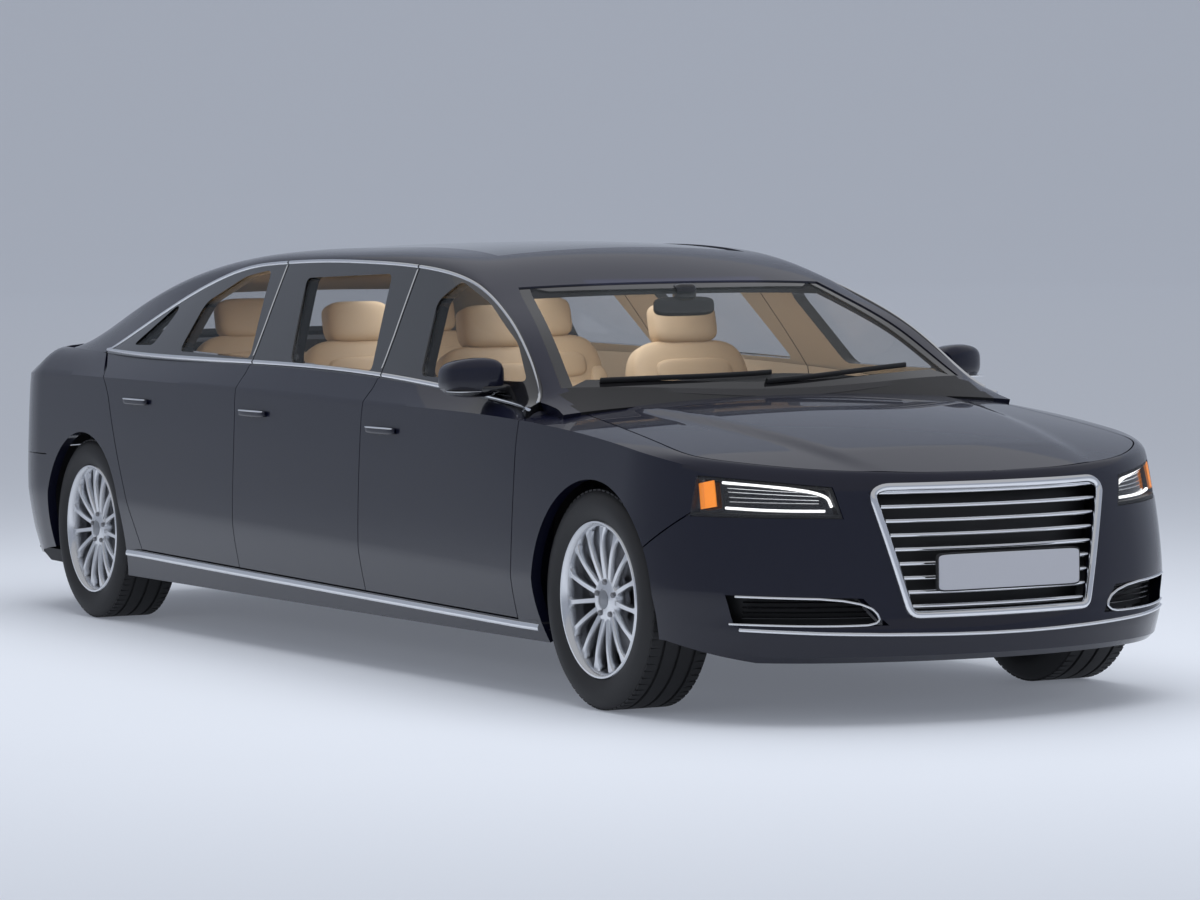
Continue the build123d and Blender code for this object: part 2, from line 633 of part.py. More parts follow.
with BuildPart() as floor_pan:
    add(middle_rest)
    add(side_room.part, mode=Mode.SUBTRACT)
    add(lid_hinge.part)
    mirror(about=Plane.XZ)

# Lamps, intakes and grille
with BuildPart() as lens:
    add(outer_lower)
    add(lamp_room, mode=Mode.INTERSECT)
    add(lens_back, mode=Mode.SUBTRACT)
    add(hood_room(HALF_GAP), mode=Mode.SUBTRACT)
with BuildPart() as lamp:
    add(lens_back)
    add(lamp_room, mode=Mode.INTERSECT)
    add(hood_room(HALF_GAP), mode=Mode.SUBTRACT)
with BuildPart() as intake:
    add(lens_back)
    add(intake_room, mode=Mode.INTERSECT)
with BuildPart() as tail_lamp:
    add(outer_lower)
    add(tail_room, mode=Mode.INTERSECT)

PAIRS = {"headlamp_lenses": lens, "headlamps": lamp, "intakes": intake, "tail_lamps": tail_lamp}
for name, piece in PAIRS.items():
    with BuildPart() as pair:
        add(piece.part)
        mirror(about=Plane.XZ)
    pair.part.label = name
    export_step(pair.part, f"parts/{name}.step")

for name, piece in (("fender", fender), ("body_side", body_side)):
    with BuildPart() as right_piece:
        add(piece.part.solids().sort_by(SortBy.VOLUME)[-1])
    right_piece.part.label = f"{name}_right"
    export_step(right_piece.part, f"parts/{name}_right.step")
    with BuildPart() as left_piece:
        mirror(right_piece.part, about=Plane.XZ)
    left_piece.part.label = f"{name}_left"
    export_step(left_piece.part, f"parts/{name}_left.step")

with BuildPart() as floor_main:
    add(floor_pan.part.solids().sort_by(SortBy.VOLUME)[-1])
floor_main.part.label = "floor_pan"
export_step(floor_main.part, "parts/floor_pan.step")

with BuildPart() as grille:
    with BuildSketch(section_plane(GRILLE_BACK_X)) as grille_sketch:
        with BuildLine():
            Polyline(*GRILLE_EDGE, *[(-y, z) for y, z in reversed(GRILLE_EDGE)], close=True)
        make_face()
        offset(amount=-GRILLE_FRAME, kind=Kind.INTERSECTION, mode=Mode.SUBTRACT)
    extrude(amount=GRILLE_FRAME_DEPTH)
    slat_step = (GRILLE_EDGE[0][1] - GRILLE_EDGE[-1][1]) / (SLATS + 1)
    with BuildSketch(section_plane(GRILLE_BACK_X)):
        for row in range(SLATS):
            with Locations((0, GRILLE_EDGE[-1][1] + slat_step * (row + 1))):
                Rectangle(2 * GRILLE_EDGE[1][0], SLAT_HEIGHT)
        with BuildLine():
            Polyline(*GRILLE_EDGE, *[(-y, z) for y, z in reversed(GRILLE_EDGE)], close=True)
        make_face(mode=Mode.INTERSECT)
    extrude(amount=SLAT_DEPTH)
grille.part.label = "grille"
export_step(grille.part, "parts/grille.step")

# Door mirrors
with BuildPart() as door_mirror:
    with Locations(MIRROR_CENTRE):
        Box(*MIRROR_SIZE)
    fillet(door_mirror.edges().filter_by(Axis.Y), MIRROR_ROUND)
    chamfer(door_mirror.faces().sort_by(Axis.Y)[0].edges(), MIRROR_CHAMFER)
    add(block(*MIRROR_FOOT))
    add(outer_lower, mode=Mode.SUBTRACT)
    add(outer_roof, mode=Mode.SUBTRACT)
door_mirror.part.label = "mirror_right"
export_step(door_mirror.part, "parts/mirror_right.step")
with BuildPart() as left_mirror:
    mirror(door_mirror.part, about=Plane.XZ)
left_mirror.part.label = "mirror_left"
export_step(left_mirror.part, "parts/mirror_left.step")

# Wheels: tyre and rim about the axle at x = 0 on the right-hand side, outside towards -Y
wheel_plane = Plane(origin=(0, -WHEEL_Y, TYRE_RADIUS), x_dir=(0, -1, 0), z_dir=(-1, 0, 0))
wheel_axis = Axis((0, -WHEEL_Y, TYRE_RADIUS), (0, 1, 0))
corner = 1 / cos(radians(180 / TYRE_SIDES))


def tyre_ring(bands):
    # A many-sided solid between radii at distances outwards from the wheel's middle plane
    with BuildPart() as ring:
        for out, radius in bands:
            with BuildSketch(side_plane(-WHEEL_Y - out)):
                with Locations((0, TYRE_RADIUS)):
                    RegularPolygon(radius * corner, TYRE_SIDES, rotation=180 / TYRE_SIDES)
        loft(ruled=True)
    return ring.part


with BuildPart() as tyre:
    add(tyre_ring(TREAD_BANDS))
    add(tyre_ring([(-TYRE_WIDTH, SEAT_RADIUS), (TYRE_WIDTH, SEAT_RADIUS)]), mode=Mode.SUBTRACT)
    for side in (-1, 1):
        add(tyre_ring([(side * BEAD_Y, FLANGE_RADIUS), (side * TYRE_WIDTH, FLANGE_RADIUS)]), mode=Mode.SUBTRACT)
        add(tyre_ring([(side * out, radius) for out, radius in BEAD_CONE]), mode=Mode.SUBTRACT)
with BuildPart() as rim:
    with BuildSketch(wheel_plane):
        with BuildLine():
            Polyline(*RIM_PROFILE, close=True)
        make_face()
        with BuildLine():
            Polyline(*HUB_PROFILE, close=True)
        make_face()
    revolve(axis=wheel_axis)
    for spoke in range(SPOKES):
        with BuildSketch(Plane(origin=(0, -WHEEL_Y - SPOKE_FACE, TYRE_RADIUS), x_dir=(1, 0, 0), z_dir=(0, 1, 0))):
            with BuildLine():
                turn = radians(360 / SPOKES * spoke)
                Polyline(*[(r * cos(turn) - w * sin(turn), r * sin(turn) + w * cos(turn)) for r, w in SPOKE_OUTLINE],
                         close=True)
            make_face()
        extrude(amount=SPOKE_DEPTH)
for axle, x in (("front", FRONT_AXLE_X), ("rear", REAR_AXLE_X)):
    for name, piece in (("tyre", tyre), ("rim", rim)):
        with BuildPart() as right_wheel:
            add(piece.part.moved(Location((x, 0, 0))))
        right_wheel.part.label = f"{name}_{axle}_right"
        export_step(right_wheel.part, f"parts/{name}_{axle}_right.step")
        with BuildPart() as left_wheel:
            mirror(right_wheel.part, about=Plane.XZ)
        left_wheel.part.label = f"{name}_{axle}_left"
        export_step(left_wheel.part, f"parts/{name}_{axle}_left.step")

# Front knuckle with its stub axle and pivot pins, and the arms that carry it
with BuildPart() as knuckle:
    add(block((FRONT_AXLE_X - 40, FRONT_AXLE_X + 40), (-STEER_AXIS_Y - 35, -STEER_AXIS_Y + 35), KNUCKLE_Z))
    with BuildSketch(side_plane(-STEER_AXIS_Y)):
        with Locations((FRONT_AXLE_X, TYRE_RADIUS)):
            Circle(STUB_RADIUS)
    extrude(amount=STUB_END_Y - STEER_AXIS_Y)
    with BuildSketch(Plane.XY.offset(KNUCKLE_Z[0] - ARM_GAP - ARM_THICKNESS)):
        with Locations((FRONT_AXLE_X, -STEER_AXIS_Y)):
            Circle(PIN_RADIUS)
    extrude(amount=KNUCKLE_Z[1] - KNUCKLE_Z[0] + 2 * (ARM_GAP + ARM_THICKNESS))
knuckle.part.label = "knuckle_right"
export_step(knuckle.part, "parts/knuckle_right.step")
with BuildPart() as left_knuckle:
    mirror(knuckle.part, about=Plane.XZ)
left_knuckle.part.label = "knuckle_left"
export_step(left_knuckle.part, "parts/knuckle_left.step")

with BuildPart() as front_arms:
    wall_y = HOUSINGS[0][2]
    for base_z in (KNUCKLE_Z[0] - ARM_GAP - ARM_THICKNESS, KNUCKLE_Z[1] + ARM_GAP):
        with BuildSketch(Plane.XY.offset(base_z)):
            with Locations((FRONT_AXLE_X, -(wall_y + STEER_AXIS_Y) / 2)):
                Rectangle(ARM_WIDTH, STEER_AXIS_Y - wall_y)
            with Locations((FRONT_AXLE_X, -STEER_AXIS_Y)):
                Circle(EYE_RADIUS)
                Circle(PIN_RADIUS + RUNNING_PLAY, mode=Mode.SUBTRACT)
        extrude(amount=ARM_THICKNESS)
    add(block((FRONT_AXLE_X - BRACKET[0] / 2, FRONT_AXLE_X + BRACKET[0] / 2), (-wall_y - BRACKET[1], -wall_y),
              (KNUCKLE_Z[0] - ARM_GAP - ARM_THICKNESS, KNUCKLE_Z[1] + ARM_GAP + ARM_THICKNESS)))
    mirror(about=Plane.XZ)
front_arms.part.label = "front_arms"
export_step(front_arms.part, "parts/front_arms.step")

with BuildPart() as rear_hubs:
    wall_y = HOUSINGS[1][2]
    with BuildSketch(side_plane(-wall_y)):
        with Locations((REAR_AXLE_X, TYRE_RADIUS)):
            Circle(BRACKET[0] / 2)
    extrude(amount=BRACKET[1])
    with BuildSketch(side_plane(-wall_y)):
        with Locations((REAR_AXLE_X, TYRE_RADIUS)):
            Circle(STUB_RADIUS)
    extrude(amount=STUB_END_Y - wall_y)
    mirror(about=Plane.XZ)
rear_hubs.part.label = "rear_hubs"
export_step(rear_hubs.part, "parts/rear_hubs.step")

with BuildPart() as engine_block:
    add(block(ENGINE[0], ENGINE[1], (UNDERSIDE_Z + FLOOR_THICKNESS, ENGINE[2])))
engine_block.part.label = "engine_block"
export_step(engine_block.part, "parts/engine_block.step")

# Cabin: dashboard with its console, steering wheel and three rows of two seats
floor_z = UNDERSIDE_Z + FLOOR_THICKNESS
column = Vector(cos(radians(WHEEL_TILT)), 0, -sin(radians(WHEEL_TILT)))
with BuildPart() as dashboard:
    add(side_view(DASH_SIDE, (-DASH_HALF_Y, DASH_HALF_Y)))
    add(block(CONSOLE[0], CONSOLE[1], (floor_z, CONSOLE_Z)))
    with BuildSketch(Plane(origin=Vector(*WHEEL_CENTRE) + column * BOSS_START, x_dir=(0, 1, 0), z_dir=column)):
        Circle(BOSS_RADIUS)
    extrude(amount=BOSS_LENGTH)
    with BuildSketch(Plane(origin=Vector(*WHEEL_CENTRE) + column * BOSS_START, x_dir=(0, 1, 0), z_dir=column)):
        Circle(SPINDLE_RADIUS + RUNNING_PLAY)
    extrude(amount=SPINDLE_LENGTH, mode=Mode.SUBTRACT)
dashboard.part.label = "dashboard"
export_step(dashboard.part, "parts/dashboard.step")

with BuildPart() as steering_wheel:
    with BuildSketch(Plane(origin=WHEEL_CENTRE, x_dir=(0, 1, 0), z_dir=column)):
        Circle(WHEEL_RING + WHEEL_GRIP)
        Circle(WHEEL_RING - WHEEL_GRIP, mode=Mode.SUBTRACT)
        Rectangle(2 * WHEEL_RING, 3 * WHEEL_GRIP)
        Circle(5 * WHEEL_GRIP)
    extrude(amount=WHEEL_GRIP, both=True)
    with BuildSketch(Plane(origin=WHEEL_CENTRE, x_dir=(0, 1, 0), z_dir=column)):
        Circle(COLUMN_RADIUS)
    extrude(amount=COLUMN_LENGTH)
    with BuildSketch(Plane(origin=WHEEL_CENTRE, x_dir=(0, 1, 0), z_dir=column)):
        Circle(SPINDLE_RADIUS)
    extrude(amount=COLUMN_LENGTH + SPINDLE_LENGTH)
steering_wheel.part.label = "steering_wheel"
export_step(steering_wheel.part, "parts/steering_wheel.step")

with BuildPart() as seats:
    for x in SEAT_ROWS:
        for outline, width in zip((SEAT_CUSHION, SEAT_BACK, SEAT_HEAD), SEAT_WIDTHS):
            places = [(x + u, floor_z + v) for u, v in outline]
            add(side_view(places, (-SEAT_Y - width / 2, -SEAT_Y + width / 2)))
        add(block((x + 60, x + 460), (-SEAT_Y - 200, -SEAT_Y + 200), (floor_z, floor_z + SEAT_CUSHION[0][1])))
    mirror(about=Plane.XZ)
seats.part.label = "seats"
export_step(seats.part, "parts/seats.step")
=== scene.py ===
import bpy
import bmesh
import json
import math
import numpy as np
from mathutils import Matrix, Vector


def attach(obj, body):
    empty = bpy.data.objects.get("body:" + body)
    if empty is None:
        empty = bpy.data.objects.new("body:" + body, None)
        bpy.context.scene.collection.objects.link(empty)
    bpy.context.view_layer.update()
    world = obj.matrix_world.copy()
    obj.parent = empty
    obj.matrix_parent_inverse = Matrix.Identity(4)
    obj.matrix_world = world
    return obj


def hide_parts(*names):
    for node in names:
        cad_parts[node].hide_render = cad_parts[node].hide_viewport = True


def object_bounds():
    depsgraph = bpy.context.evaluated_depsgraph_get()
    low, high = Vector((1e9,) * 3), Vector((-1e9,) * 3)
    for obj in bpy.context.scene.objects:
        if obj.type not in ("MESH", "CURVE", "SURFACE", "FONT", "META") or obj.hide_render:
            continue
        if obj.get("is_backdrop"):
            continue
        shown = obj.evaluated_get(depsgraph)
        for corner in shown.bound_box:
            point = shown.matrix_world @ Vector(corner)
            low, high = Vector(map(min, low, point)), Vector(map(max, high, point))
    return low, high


bpy.ops.wm.read_factory_settings(use_empty=True)
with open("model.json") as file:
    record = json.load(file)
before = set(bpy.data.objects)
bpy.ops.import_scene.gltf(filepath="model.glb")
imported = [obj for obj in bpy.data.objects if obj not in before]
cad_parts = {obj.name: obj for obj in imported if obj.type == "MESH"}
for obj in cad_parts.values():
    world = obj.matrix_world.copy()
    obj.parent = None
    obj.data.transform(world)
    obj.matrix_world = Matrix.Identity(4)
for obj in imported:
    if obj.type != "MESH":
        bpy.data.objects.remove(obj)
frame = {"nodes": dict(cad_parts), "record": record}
nodes = frame["nodes"]
scene = bpy.context.scene
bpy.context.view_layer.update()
print("frame loaded")

# materials


def material(name, color, rough=0.5, metal=0.0, coat=0.0, **more):
    mat = bpy.data.materials.new(name)
    mat.use_nodes = True
    bsdf = mat.node_tree.nodes["Principled BSDF"]
    bsdf.inputs["Base Color"].default_value = (*color, 1)
    bsdf.inputs["Roughness"].default_value = rough
    bsdf.inputs["Metallic"].default_value = metal
    bsdf.inputs["Coat Weight"].default_value = coat
    bsdf.inputs["Coat Roughness"].default_value = 0.02
    for key, value in more.items():
        bsdf.inputs[key].default_value = value
    return mat


paint = material("paint", (0.0035, 0.0042, 0.013), 0.4, 0.0, 0.8, **{"Specular IOR Level": 0.1})
blackGloss = material("blackGloss", (0.006, 0.006, 0.007), 0.08, 0.0, 0.6)
blackMatt = material("blackMatt", (0.008, 0.008, 0.009), 0.55)
chrome = material("chrome", (0.82, 0.83, 0.85), 0.06, 1.0)
alloy = material("alloy", (0.72, 0.73, 0.75), 0.22, 1.0)
rubber = material("rubber", (0.012, 0.012, 0.013), 0.62)
steel = material("steel", (0.25, 0.25, 0.26), 0.4, 1.0)
leather = material("leather", (0.66, 0.50, 0.33), 0.5)
dashSkin = material("dashSkin", (0.03, 0.027, 0.025), 0.55)
lining = material("lining", (0.64, 0.53, 0.40), 0.8)
redLens = material("redLens", (0.25, 0.004, 0.004), 0.08, 0.0, 0.8)
glass = material("glass", (0.012, 0.016, 0.017), 0.0, 0.0, 0.0, **{"Alpha": 0.16, "IOR": 2.0})
clearLens = material("clearLens", (0.02, 0.02, 0.022), 0.0, 0.0, 0.0, **{"Alpha": 0.12, "IOR": 2.2})
under = material("under", (0.015, 0.015, 0.017), 0.7)
bySlot = {"paint": paint, "glass": glass, "lens": clearLens, "lamp": chrome, "tail": redLens, "chrome": chrome,
          "black": blackMatt, "alloy": alloy, "tyre": rubber, "iron": steel, "floor": under, "trim": dashSkin,
          "leather": leather}
slotOf = {s["node"]: s["material_slot"] for s in frame["record"]["subparts"]}
for name, node in nodes.items():
    node.data.materials.clear()
    node.data.materials.append(bySlot[slotOf[name]])
print("materials")

# stage, light and camera

floor = {"flat": 70.0, "bend": 30.0, "wall": 20.0, "turns": 128}
profile = [(0.5, 0.0), (floor["flat"], 0.0)]
profile += [(floor["flat"] + floor["bend"] * math.sin(k), floor["bend"] * (1 - math.cos(k)))
            for k in np.linspace(0.1, math.pi / 2, 12)]
profile.append((profile[-1][0], profile[-1][1] + floor["wall"]))
turns = [math.tau * k / floor["turns"] for k in range(floor["turns"])]
verts = [(r * math.cos(a), r * math.sin(a), z) for a in turns for r, z in profile]
n, m = len(profile), floor["turns"]
faces = [(i * n + j, i * n + j + 1, (i + 1) % m * n + j + 1, (i + 1) % m * n + j)
         for i in range(m) for j in range(n - 1)]
faces.append([i * n for i in range(m)])
mesh = bpy.data.meshes.new("studioFloor")
mesh.from_pydata(verts, [], faces)
mesh.shade_smooth()
floorObj = bpy.data.objects.new("studioFloor", mesh)
scene.collection.objects.link(floorObj)
studio = material("studio", (0.52, 0.55, 0.60), 0.6, **{"Emission Color": (0.80, 0.86, 1.0, 1)})
studio.node_tree.nodes["Principled BSDF"].inputs["Emission Strength"].default_value = 0.16
mesh.materials.append(studio)
floorObj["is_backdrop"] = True

world = bpy.data.worlds.new("studioWorld")
world.use_nodes = True
world.node_tree.nodes["Background"].inputs["Color"].default_value = (0.93, 0.95, 1.0, 1)
world.node_tree.nodes["Background"].inputs["Strength"].default_value = 0.5
scene.world = world

lights = [
    ("overhead", (0.3, 0, 5.2), (0.3, 0, 0), (10.0, 5.0), 420),
    ("rightWall", (3.0, -9.5, 3.4), (0.5, 0, 0.7), (9.0, 1.4), 130),
    ("frontWall", (10.0, 5.0, 4.0), (2.5, 0, 0.6), (9.0, 5.0), 210),
    ("cabin", (0.0, 0, 1.36), (0.0, 0, 0), (2.6, 0.7), 16),
]
for name, place, aim, size, power in lights:
    data = bpy.data.lights.new(name, "AREA")
    data.shape = "RECTANGLE"
    data.size, data.size_y = size
    data.energy = power
    lamp = bpy.data.objects.new(name, data)
    lamp.location = place
    lamp.visible_glossy = False
    lamp.rotation_euler = (Vector(aim) - Vector(place)).to_track_quat("-Z", "Y").to_euler()
    scene.collection.objects.link(lamp)

view = {"place": (15.377, -8.077, 1.602), "yaw": 151.48, "pitch": -2.926, "roll": -0.654, "lens": 141.2}
camData = bpy.data.cameras.new("camera")
camData.lens = view["lens"]
camData.sensor_width = 36.0
camData.clip_end = 200
camera = bpy.data.objects.new("camera", camData)
yaw, pitch, roll = (math.radians(view[k]) for k in ("yaw", "pitch", "roll"))
ahead = Vector((math.cos(pitch) * math.cos(yaw), math.cos(pitch) * math.sin(yaw), math.sin(pitch)))
right = ahead.cross(Vector((0, 0, 1))).normalized()
up = right.cross(ahead)
right2 = math.cos(roll) * right + math.sin(roll) * up
up2 = -math.sin(roll) * right + math.cos(roll) * up
camera.matrix_world = Matrix((
    (right2.x, up2.x, -ahead.x, view["place"][0]),
    (right2.y, up2.y, -ahead.y, view["place"][1]),
    (right2.z, up2.z, -ahead.z, view["place"][2]),
    (0, 0, 0, 1)))
scene.collection.objects.link(camera)
scene.camera = camera
print("stage")

# body surfaces, in millimetres

# columns: x, then insets from the half width 970 at the sill, shoulder and belt, and shoulder, belt and top heights
lower = np.array([
    (-3180, 40, 20, 117, 930, 1008, 1040),
    (-2700, 40, 20, 133, 960, 1062, 1096),
    (-2025, 38, 20, 112, 966, 1056, 1085),
    (-600, 30, 18, 68, 956, 1042, 1046),
    (800, 30, 18, 68, 936, 1010, 1014),
    (1700, 32, 24, 98, 915, 942, 982),
    (2195, 36, 40, 146, 876, 893, 938),
    (2800, 36, 60, 140, 780, 800, 842),
    (3180, 30, 100, 190, 680, 712, 752)], float)
# columns: x, belt y, belt z, rail y, rail z, top z
upper = np.array([
    (-2560, 815, 1058, 676, 1074, 1090),
    (-2150, 850, 1058, 684, 1222, 1250),
    (-1650, 878, 1052, 682, 1352, 1385),
    (-1000, 895, 1046, 668, 1436, 1468),
    (-200, 902, 1032, 660, 1456, 1490),
    (500, 902, 1016, 654, 1446, 1486),
    (830, 900, 1009, 668, 1396, 1446),
    (1108, 893, 1001, 714, 1298, 1346),
    (1410, 882, 985, 772, 1172, 1214),
    (1720, 868, 970, 812, 992, 1070),
    (1870, 850, 936, 790, 942, 966)], float)
halfWidth = 970.0
creaseLine = ((-1900, 492), (1700, 405))    # lower crease of the doors, x and z


def spline(table):
    xs, ys = table[:, 0], table[:, 1:]
    n = len(xs)
    h = np.diff(xs)
    a = np.zeros((n, n))
    b = np.zeros((n, ys.shape[1]))
    a[0, 0] = a[-1, -1] = 1
    for i in range(1, n - 1):
        a[i, i - 1:i + 2] = h[i - 1], 2 * (h[i - 1] + h[i]), h[i]
        b[i] = 6 * ((ys[i + 1] - ys[i]) / h[i] - (ys[i] - ys[i - 1]) / h[i - 1])
    m = np.linalg.solve(a, b)

    def at(x):
        x = np.asarray(x, float)
        i = np.clip(np.searchsorted(xs, x) - 1, 0, n - 2)
        u = (x - xs[i])[..., None]
        v = (xs[i + 1] - x)[..., None]
        k = h[i][..., None]
        return ((m[i] * v**3 + m[i + 1] * u**3) / (6 * k) + (ys[i] / k - m[i] * k / 6) * v
                + (ys[i + 1] / k - m[i + 1] * k / 6) * u)
    return at


lowerAt = spline(lower)
upperAt = spline(upper)


def inset(x, z):    # how far the side lies inside the half width
    c = lowerAt(np.clip(x, -3180, 3180))
    sill, shoulder, belt, zs, zb = (c[..., i] for i in range(5))
    zc = np.interp(x, *zip(*creaseLine))
    low = 2 + (sill - 2) * np.clip((zc - z) / (zc - 262), 0, 1.6) ** 1.25
    mid = 2 + (shoulder - 2) * np.clip((z - zc) / (zs - zc), 0, 1) ** 1.8
    shelf = shoulder + (belt - shoulder) * np.clip((z - zs) / (zb - zs), 0, 1.5)
    return np.where(z < zc, low, np.where(z < zs, mid, shelf))


def sideY(x, z):    # right-hand skin below the belt
    return halfWidth - inset(x, z)


def roofY(x, z):    # right-hand skin above the belt
    c = upperAt(np.clip(x, -2560, 1870))
    by, bz, ry, rz = (c[..., i] for i in range(4))
    t = (z - bz) / (rz - bz)
    return by + (ry - by) * t + 14 * np.clip(t, 0, 1) * np.clip(1 - t, 0, 1)


def topZ(x, y):    # hood and deck
    c = lowerAt(np.clip(x, -3180, 3180))
    sy, by = halfWidth - c[..., 1], halfWidth - c[..., 2]
    zs, zb, zt = c[..., 3], c[..., 4], c[..., 5]
    a = np.abs(y)
    crown = zt - (zt - zb) * (a / by) ** 2
    edge = zb - (zb - zs) * (a - by) / (sy - by)
    return np.where(a < by, crown, edge)


def roofZ(x, y):    # roof and screens
    c = upperAt(np.clip(x, -2560, 1870))
    ry, rz, zt = c[..., 2], c[..., 3], c[..., 4]
    return zt - (zt - rz) * (np.abs(y) / ry) ** 2


# plan of an end: tip x, direction, half chord and sweep of the middle arc
ends = {"front": (3180, 1, 560.0, 126.0), "rear": (-3180, -1, 560.0, 105.0)}
noseProfile = ((190, 60), (215, 12), (290, 0), (335, 24), (762, 60), (800, 70))
tailProfile = ((190, 130), (330, 20), (560, 0), (900, 18), (1052, 60), (1100, 76))


def endPlan(name, count):    # points and outward normals from the tip to the right-hand side
    tip, way, chord, sweep = ends[name]
    radius = (chord**2 + sweep**2) / (2 * sweep)
    lean = math.asin(chord / radius)
    corner = (halfWidth - chord) / (1 - math.sin(lean))
    cx = tip - way * (sweep + corner * math.cos(lean))
    length = radius * lean + corner * (math.pi / 2 - lean)
    s = np.linspace(0, length, count)
    first = s < radius * lean
    angle = np.where(first, s / radius, lean + (s - radius * lean) / corner)
    r = np.where(first, radius, corner)
    px = np.where(first, tip - way * radius, cx) + way * r * np.cos(angle)
    py = -np.where(first, 0, halfWidth - corner) - r * np.sin(angle)
    return px, py, way * np.cos(angle), -np.sin(angle)


def endPoint(px, py, nx, ny, z, profile):
    d = ny**2 * inset(px, z) + nx**2 * np.interp(z, *zip(*profile))
    return px - nx * d, py - ny * d, z

# mesh helpers


def meshObj(name, verts, faces, mat, body="car", smooth=True):
    data = bpy.data.meshes.new(name)
    data.from_pydata([tuple(v) for v in np.asarray(verts, float) * 0.001], [], [tuple(map(int, f)) for f in faces])
    data.validate()
    if smooth:
        data.polygons.foreach_set("use_smooth", [True] * len(data.polygons))
    for m in (mat if isinstance(mat, (list, tuple)) else [mat]):
        data.materials.append(m)
    obj = bpy.data.objects.new(name, data)
    scene.collection.objects.link(obj)
    if body:
        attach(obj, body)
    return obj


def outward(obj, weld=False):    # faces turned outwards, after points that coincide are welded
    bm = bmesh.new()
    bm.from_mesh(obj.data)
    if weld:
        bmesh.ops.remove_doubles(bm, verts=bm.verts, dist=1e-6)
    bmesh.ops.recalc_face_normals(bm, faces=bm.faces)
    bm.to_mesh(obj.data)
    bm.free()
    return obj


def gridNormals(p):
    du = np.gradient(p, axis=0)
    dv = np.gradient(p, axis=1)
    n = np.cross(du, dv)
    return n / np.maximum(np.linalg.norm(n, axis=2, keepdims=True), 1e-9)


def gridFaces(nu, nv, start=0, flip=False):
    i, j = np.meshgrid(np.arange(nu - 1), np.arange(nv - 1), indexing="ij")
    a = (i * nv + j).ravel() + start
    f = np.stack([a, a + nv, a + nv + 1, a + 1], 1)
    return f[:, ::-1] if flip else f


cutSpan = {    # how far cutters reach along their axis
    "across": (-1200, 1200), "side": (-1100, -560), "sill": (-1200, -600), "nose": (2600, 3400), "lamp": (2700, 3400),
    "grille": (2900, 3400), "tail": (-3400, -2900), "tailLamp": (-3400, -2750), "tailLens": (-3400, -2753),
    "roof": (960, 1700), "pane": (900, 1700)}


def prism(outline, axis, span):    # a closed prism along x, y or z from an outline in the other two axes
    n = len(outline)
    order = {"x": (1, 2, 0), "y": (0, 2, 1), "z": (0, 1, 2)}[axis]
    verts = np.zeros((2 * n, 3))
    for k, h in enumerate(span):
        verts[k * n:(k + 1) * n, order[0]] = [a for a, b in outline]
        verts[k * n:(k + 1) * n, order[1]] = [b for a, b in outline]
        verts[k * n:(k + 1) * n, order[2]] = h
    faces = [tuple(range(n))[::-1], tuple(range(n, 2 * n))]
    faces += [(i, (i + 1) % n, n + (i + 1) % n, n + i) for i in range(n)]
    return outward(meshObj("cutter", verts, faces, blackMatt, None, False))


def bake(obj):
    bpy.context.view_layer.update()
    graph = bpy.context.evaluated_depsgraph_get()
    data = bpy.data.meshes.new_from_object(obj.evaluated_get(graph), preserve_all_data_layers=True, depsgraph=graph)
    obj.modifiers.clear()
    old = obj.data
    obj.data = data
    bpy.data.meshes.remove(old)


def toLeft(obj):    # carries a mesh over to the car's left
    obj.data.transform(Matrix.Scale(-1, 4, (0, 1, 0)))
    obj.data.flip_normals()


def mirrored(obj, name, body):    # the same piece on the car's left
    twin = obj.copy()
    twin.data = obj.data.copy()
    twin.name = name
    scene.collection.objects.link(twin)
    toLeft(twin)
    twin.parent = None
    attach(twin, body)
    return twin


def drop(*objs):
    for obj in objs:
        bpy.data.objects.remove(obj)


def alongLine(points, count):    # evenly spaced points on a polyline
    p = np.asarray(points, float)
    s = np.concatenate([[0], np.cumsum(np.linalg.norm(np.diff(p, axis=0), axis=1))])
    t = np.linspace(0, s[-1], count)
    return np.stack([np.interp(t, s, p[:, i]) for i in range(p.shape[1])], 1)


def rounded(points, passes=2):    # a polyline with its corners eased
    p = np.asarray(points, float)
    for _ in range(passes):
        q = np.repeat(p, 2, 0)[1:-1]
        q[0::2] = 0.75 * p[:-1] + 0.25 * p[1:]
        q[1::2] = 0.25 * p[:-1] + 0.75 * p[1:]
        p = np.concatenate([p[:1], q, p[-1:]])
    return p


# outer panels


def lined(points):    # a line of (x, y) or (x, z) points as a function of the first or the second column
    p = np.asarray(points, float)
    byFirst = p[np.argsort(p[:, 0])]
    bySecond = p[np.argsort(p[:, 1])]
    return (lambda a: np.interp(a, byFirst[:, 0], byFirst[:, 1]),
            lambda b: np.interp(b, bySecond[:, 1], bySecond[:, 0]))


gap = 3.0    # half of a shut gap
shutRake = 0.36    # how far a door's edges lean forwards per depth
doorInner = 835.0
sharpAngle = math.radians(32)
frontShut = ((1659, 262), (1672, 480), (1682, 700), (1686, 860), (1712, 962))
middleShut = ((516, 284), (508, 470), (518, 800), (524, 935), (572, 1016), (446, 1416))
rearShut = ((-556, 293), (-566, 470), (-552, 800), (-560, 960), (-516, 1044), (-640, 1424))
lastShut = ((-1482, 306), (-1520, 400), (-1636, 610), (-1712, 760), (-1800, 968), (-2010, 1062))
daylight = ((1716, 966), (1414, 1180), (1108, 1302), (830, 1378), (446, 1418), (-200, 1432), (-640, 1424),
            (-995, 1406), (-1303, 1336), (-1620, 1226), (-2010, 1060))
daylightZ = lined(rounded(daylight, 3)[::-1])[0]
creaseZ = lambda x: np.interp(x, *zip(*creaseLine))
shoulderZ = lambda x: lowerAt(np.clip(x, -3180, 3180))[..., 3]
beltZ = lambda x: lowerAt(np.clip(x, -3180, 3180))[..., 4]
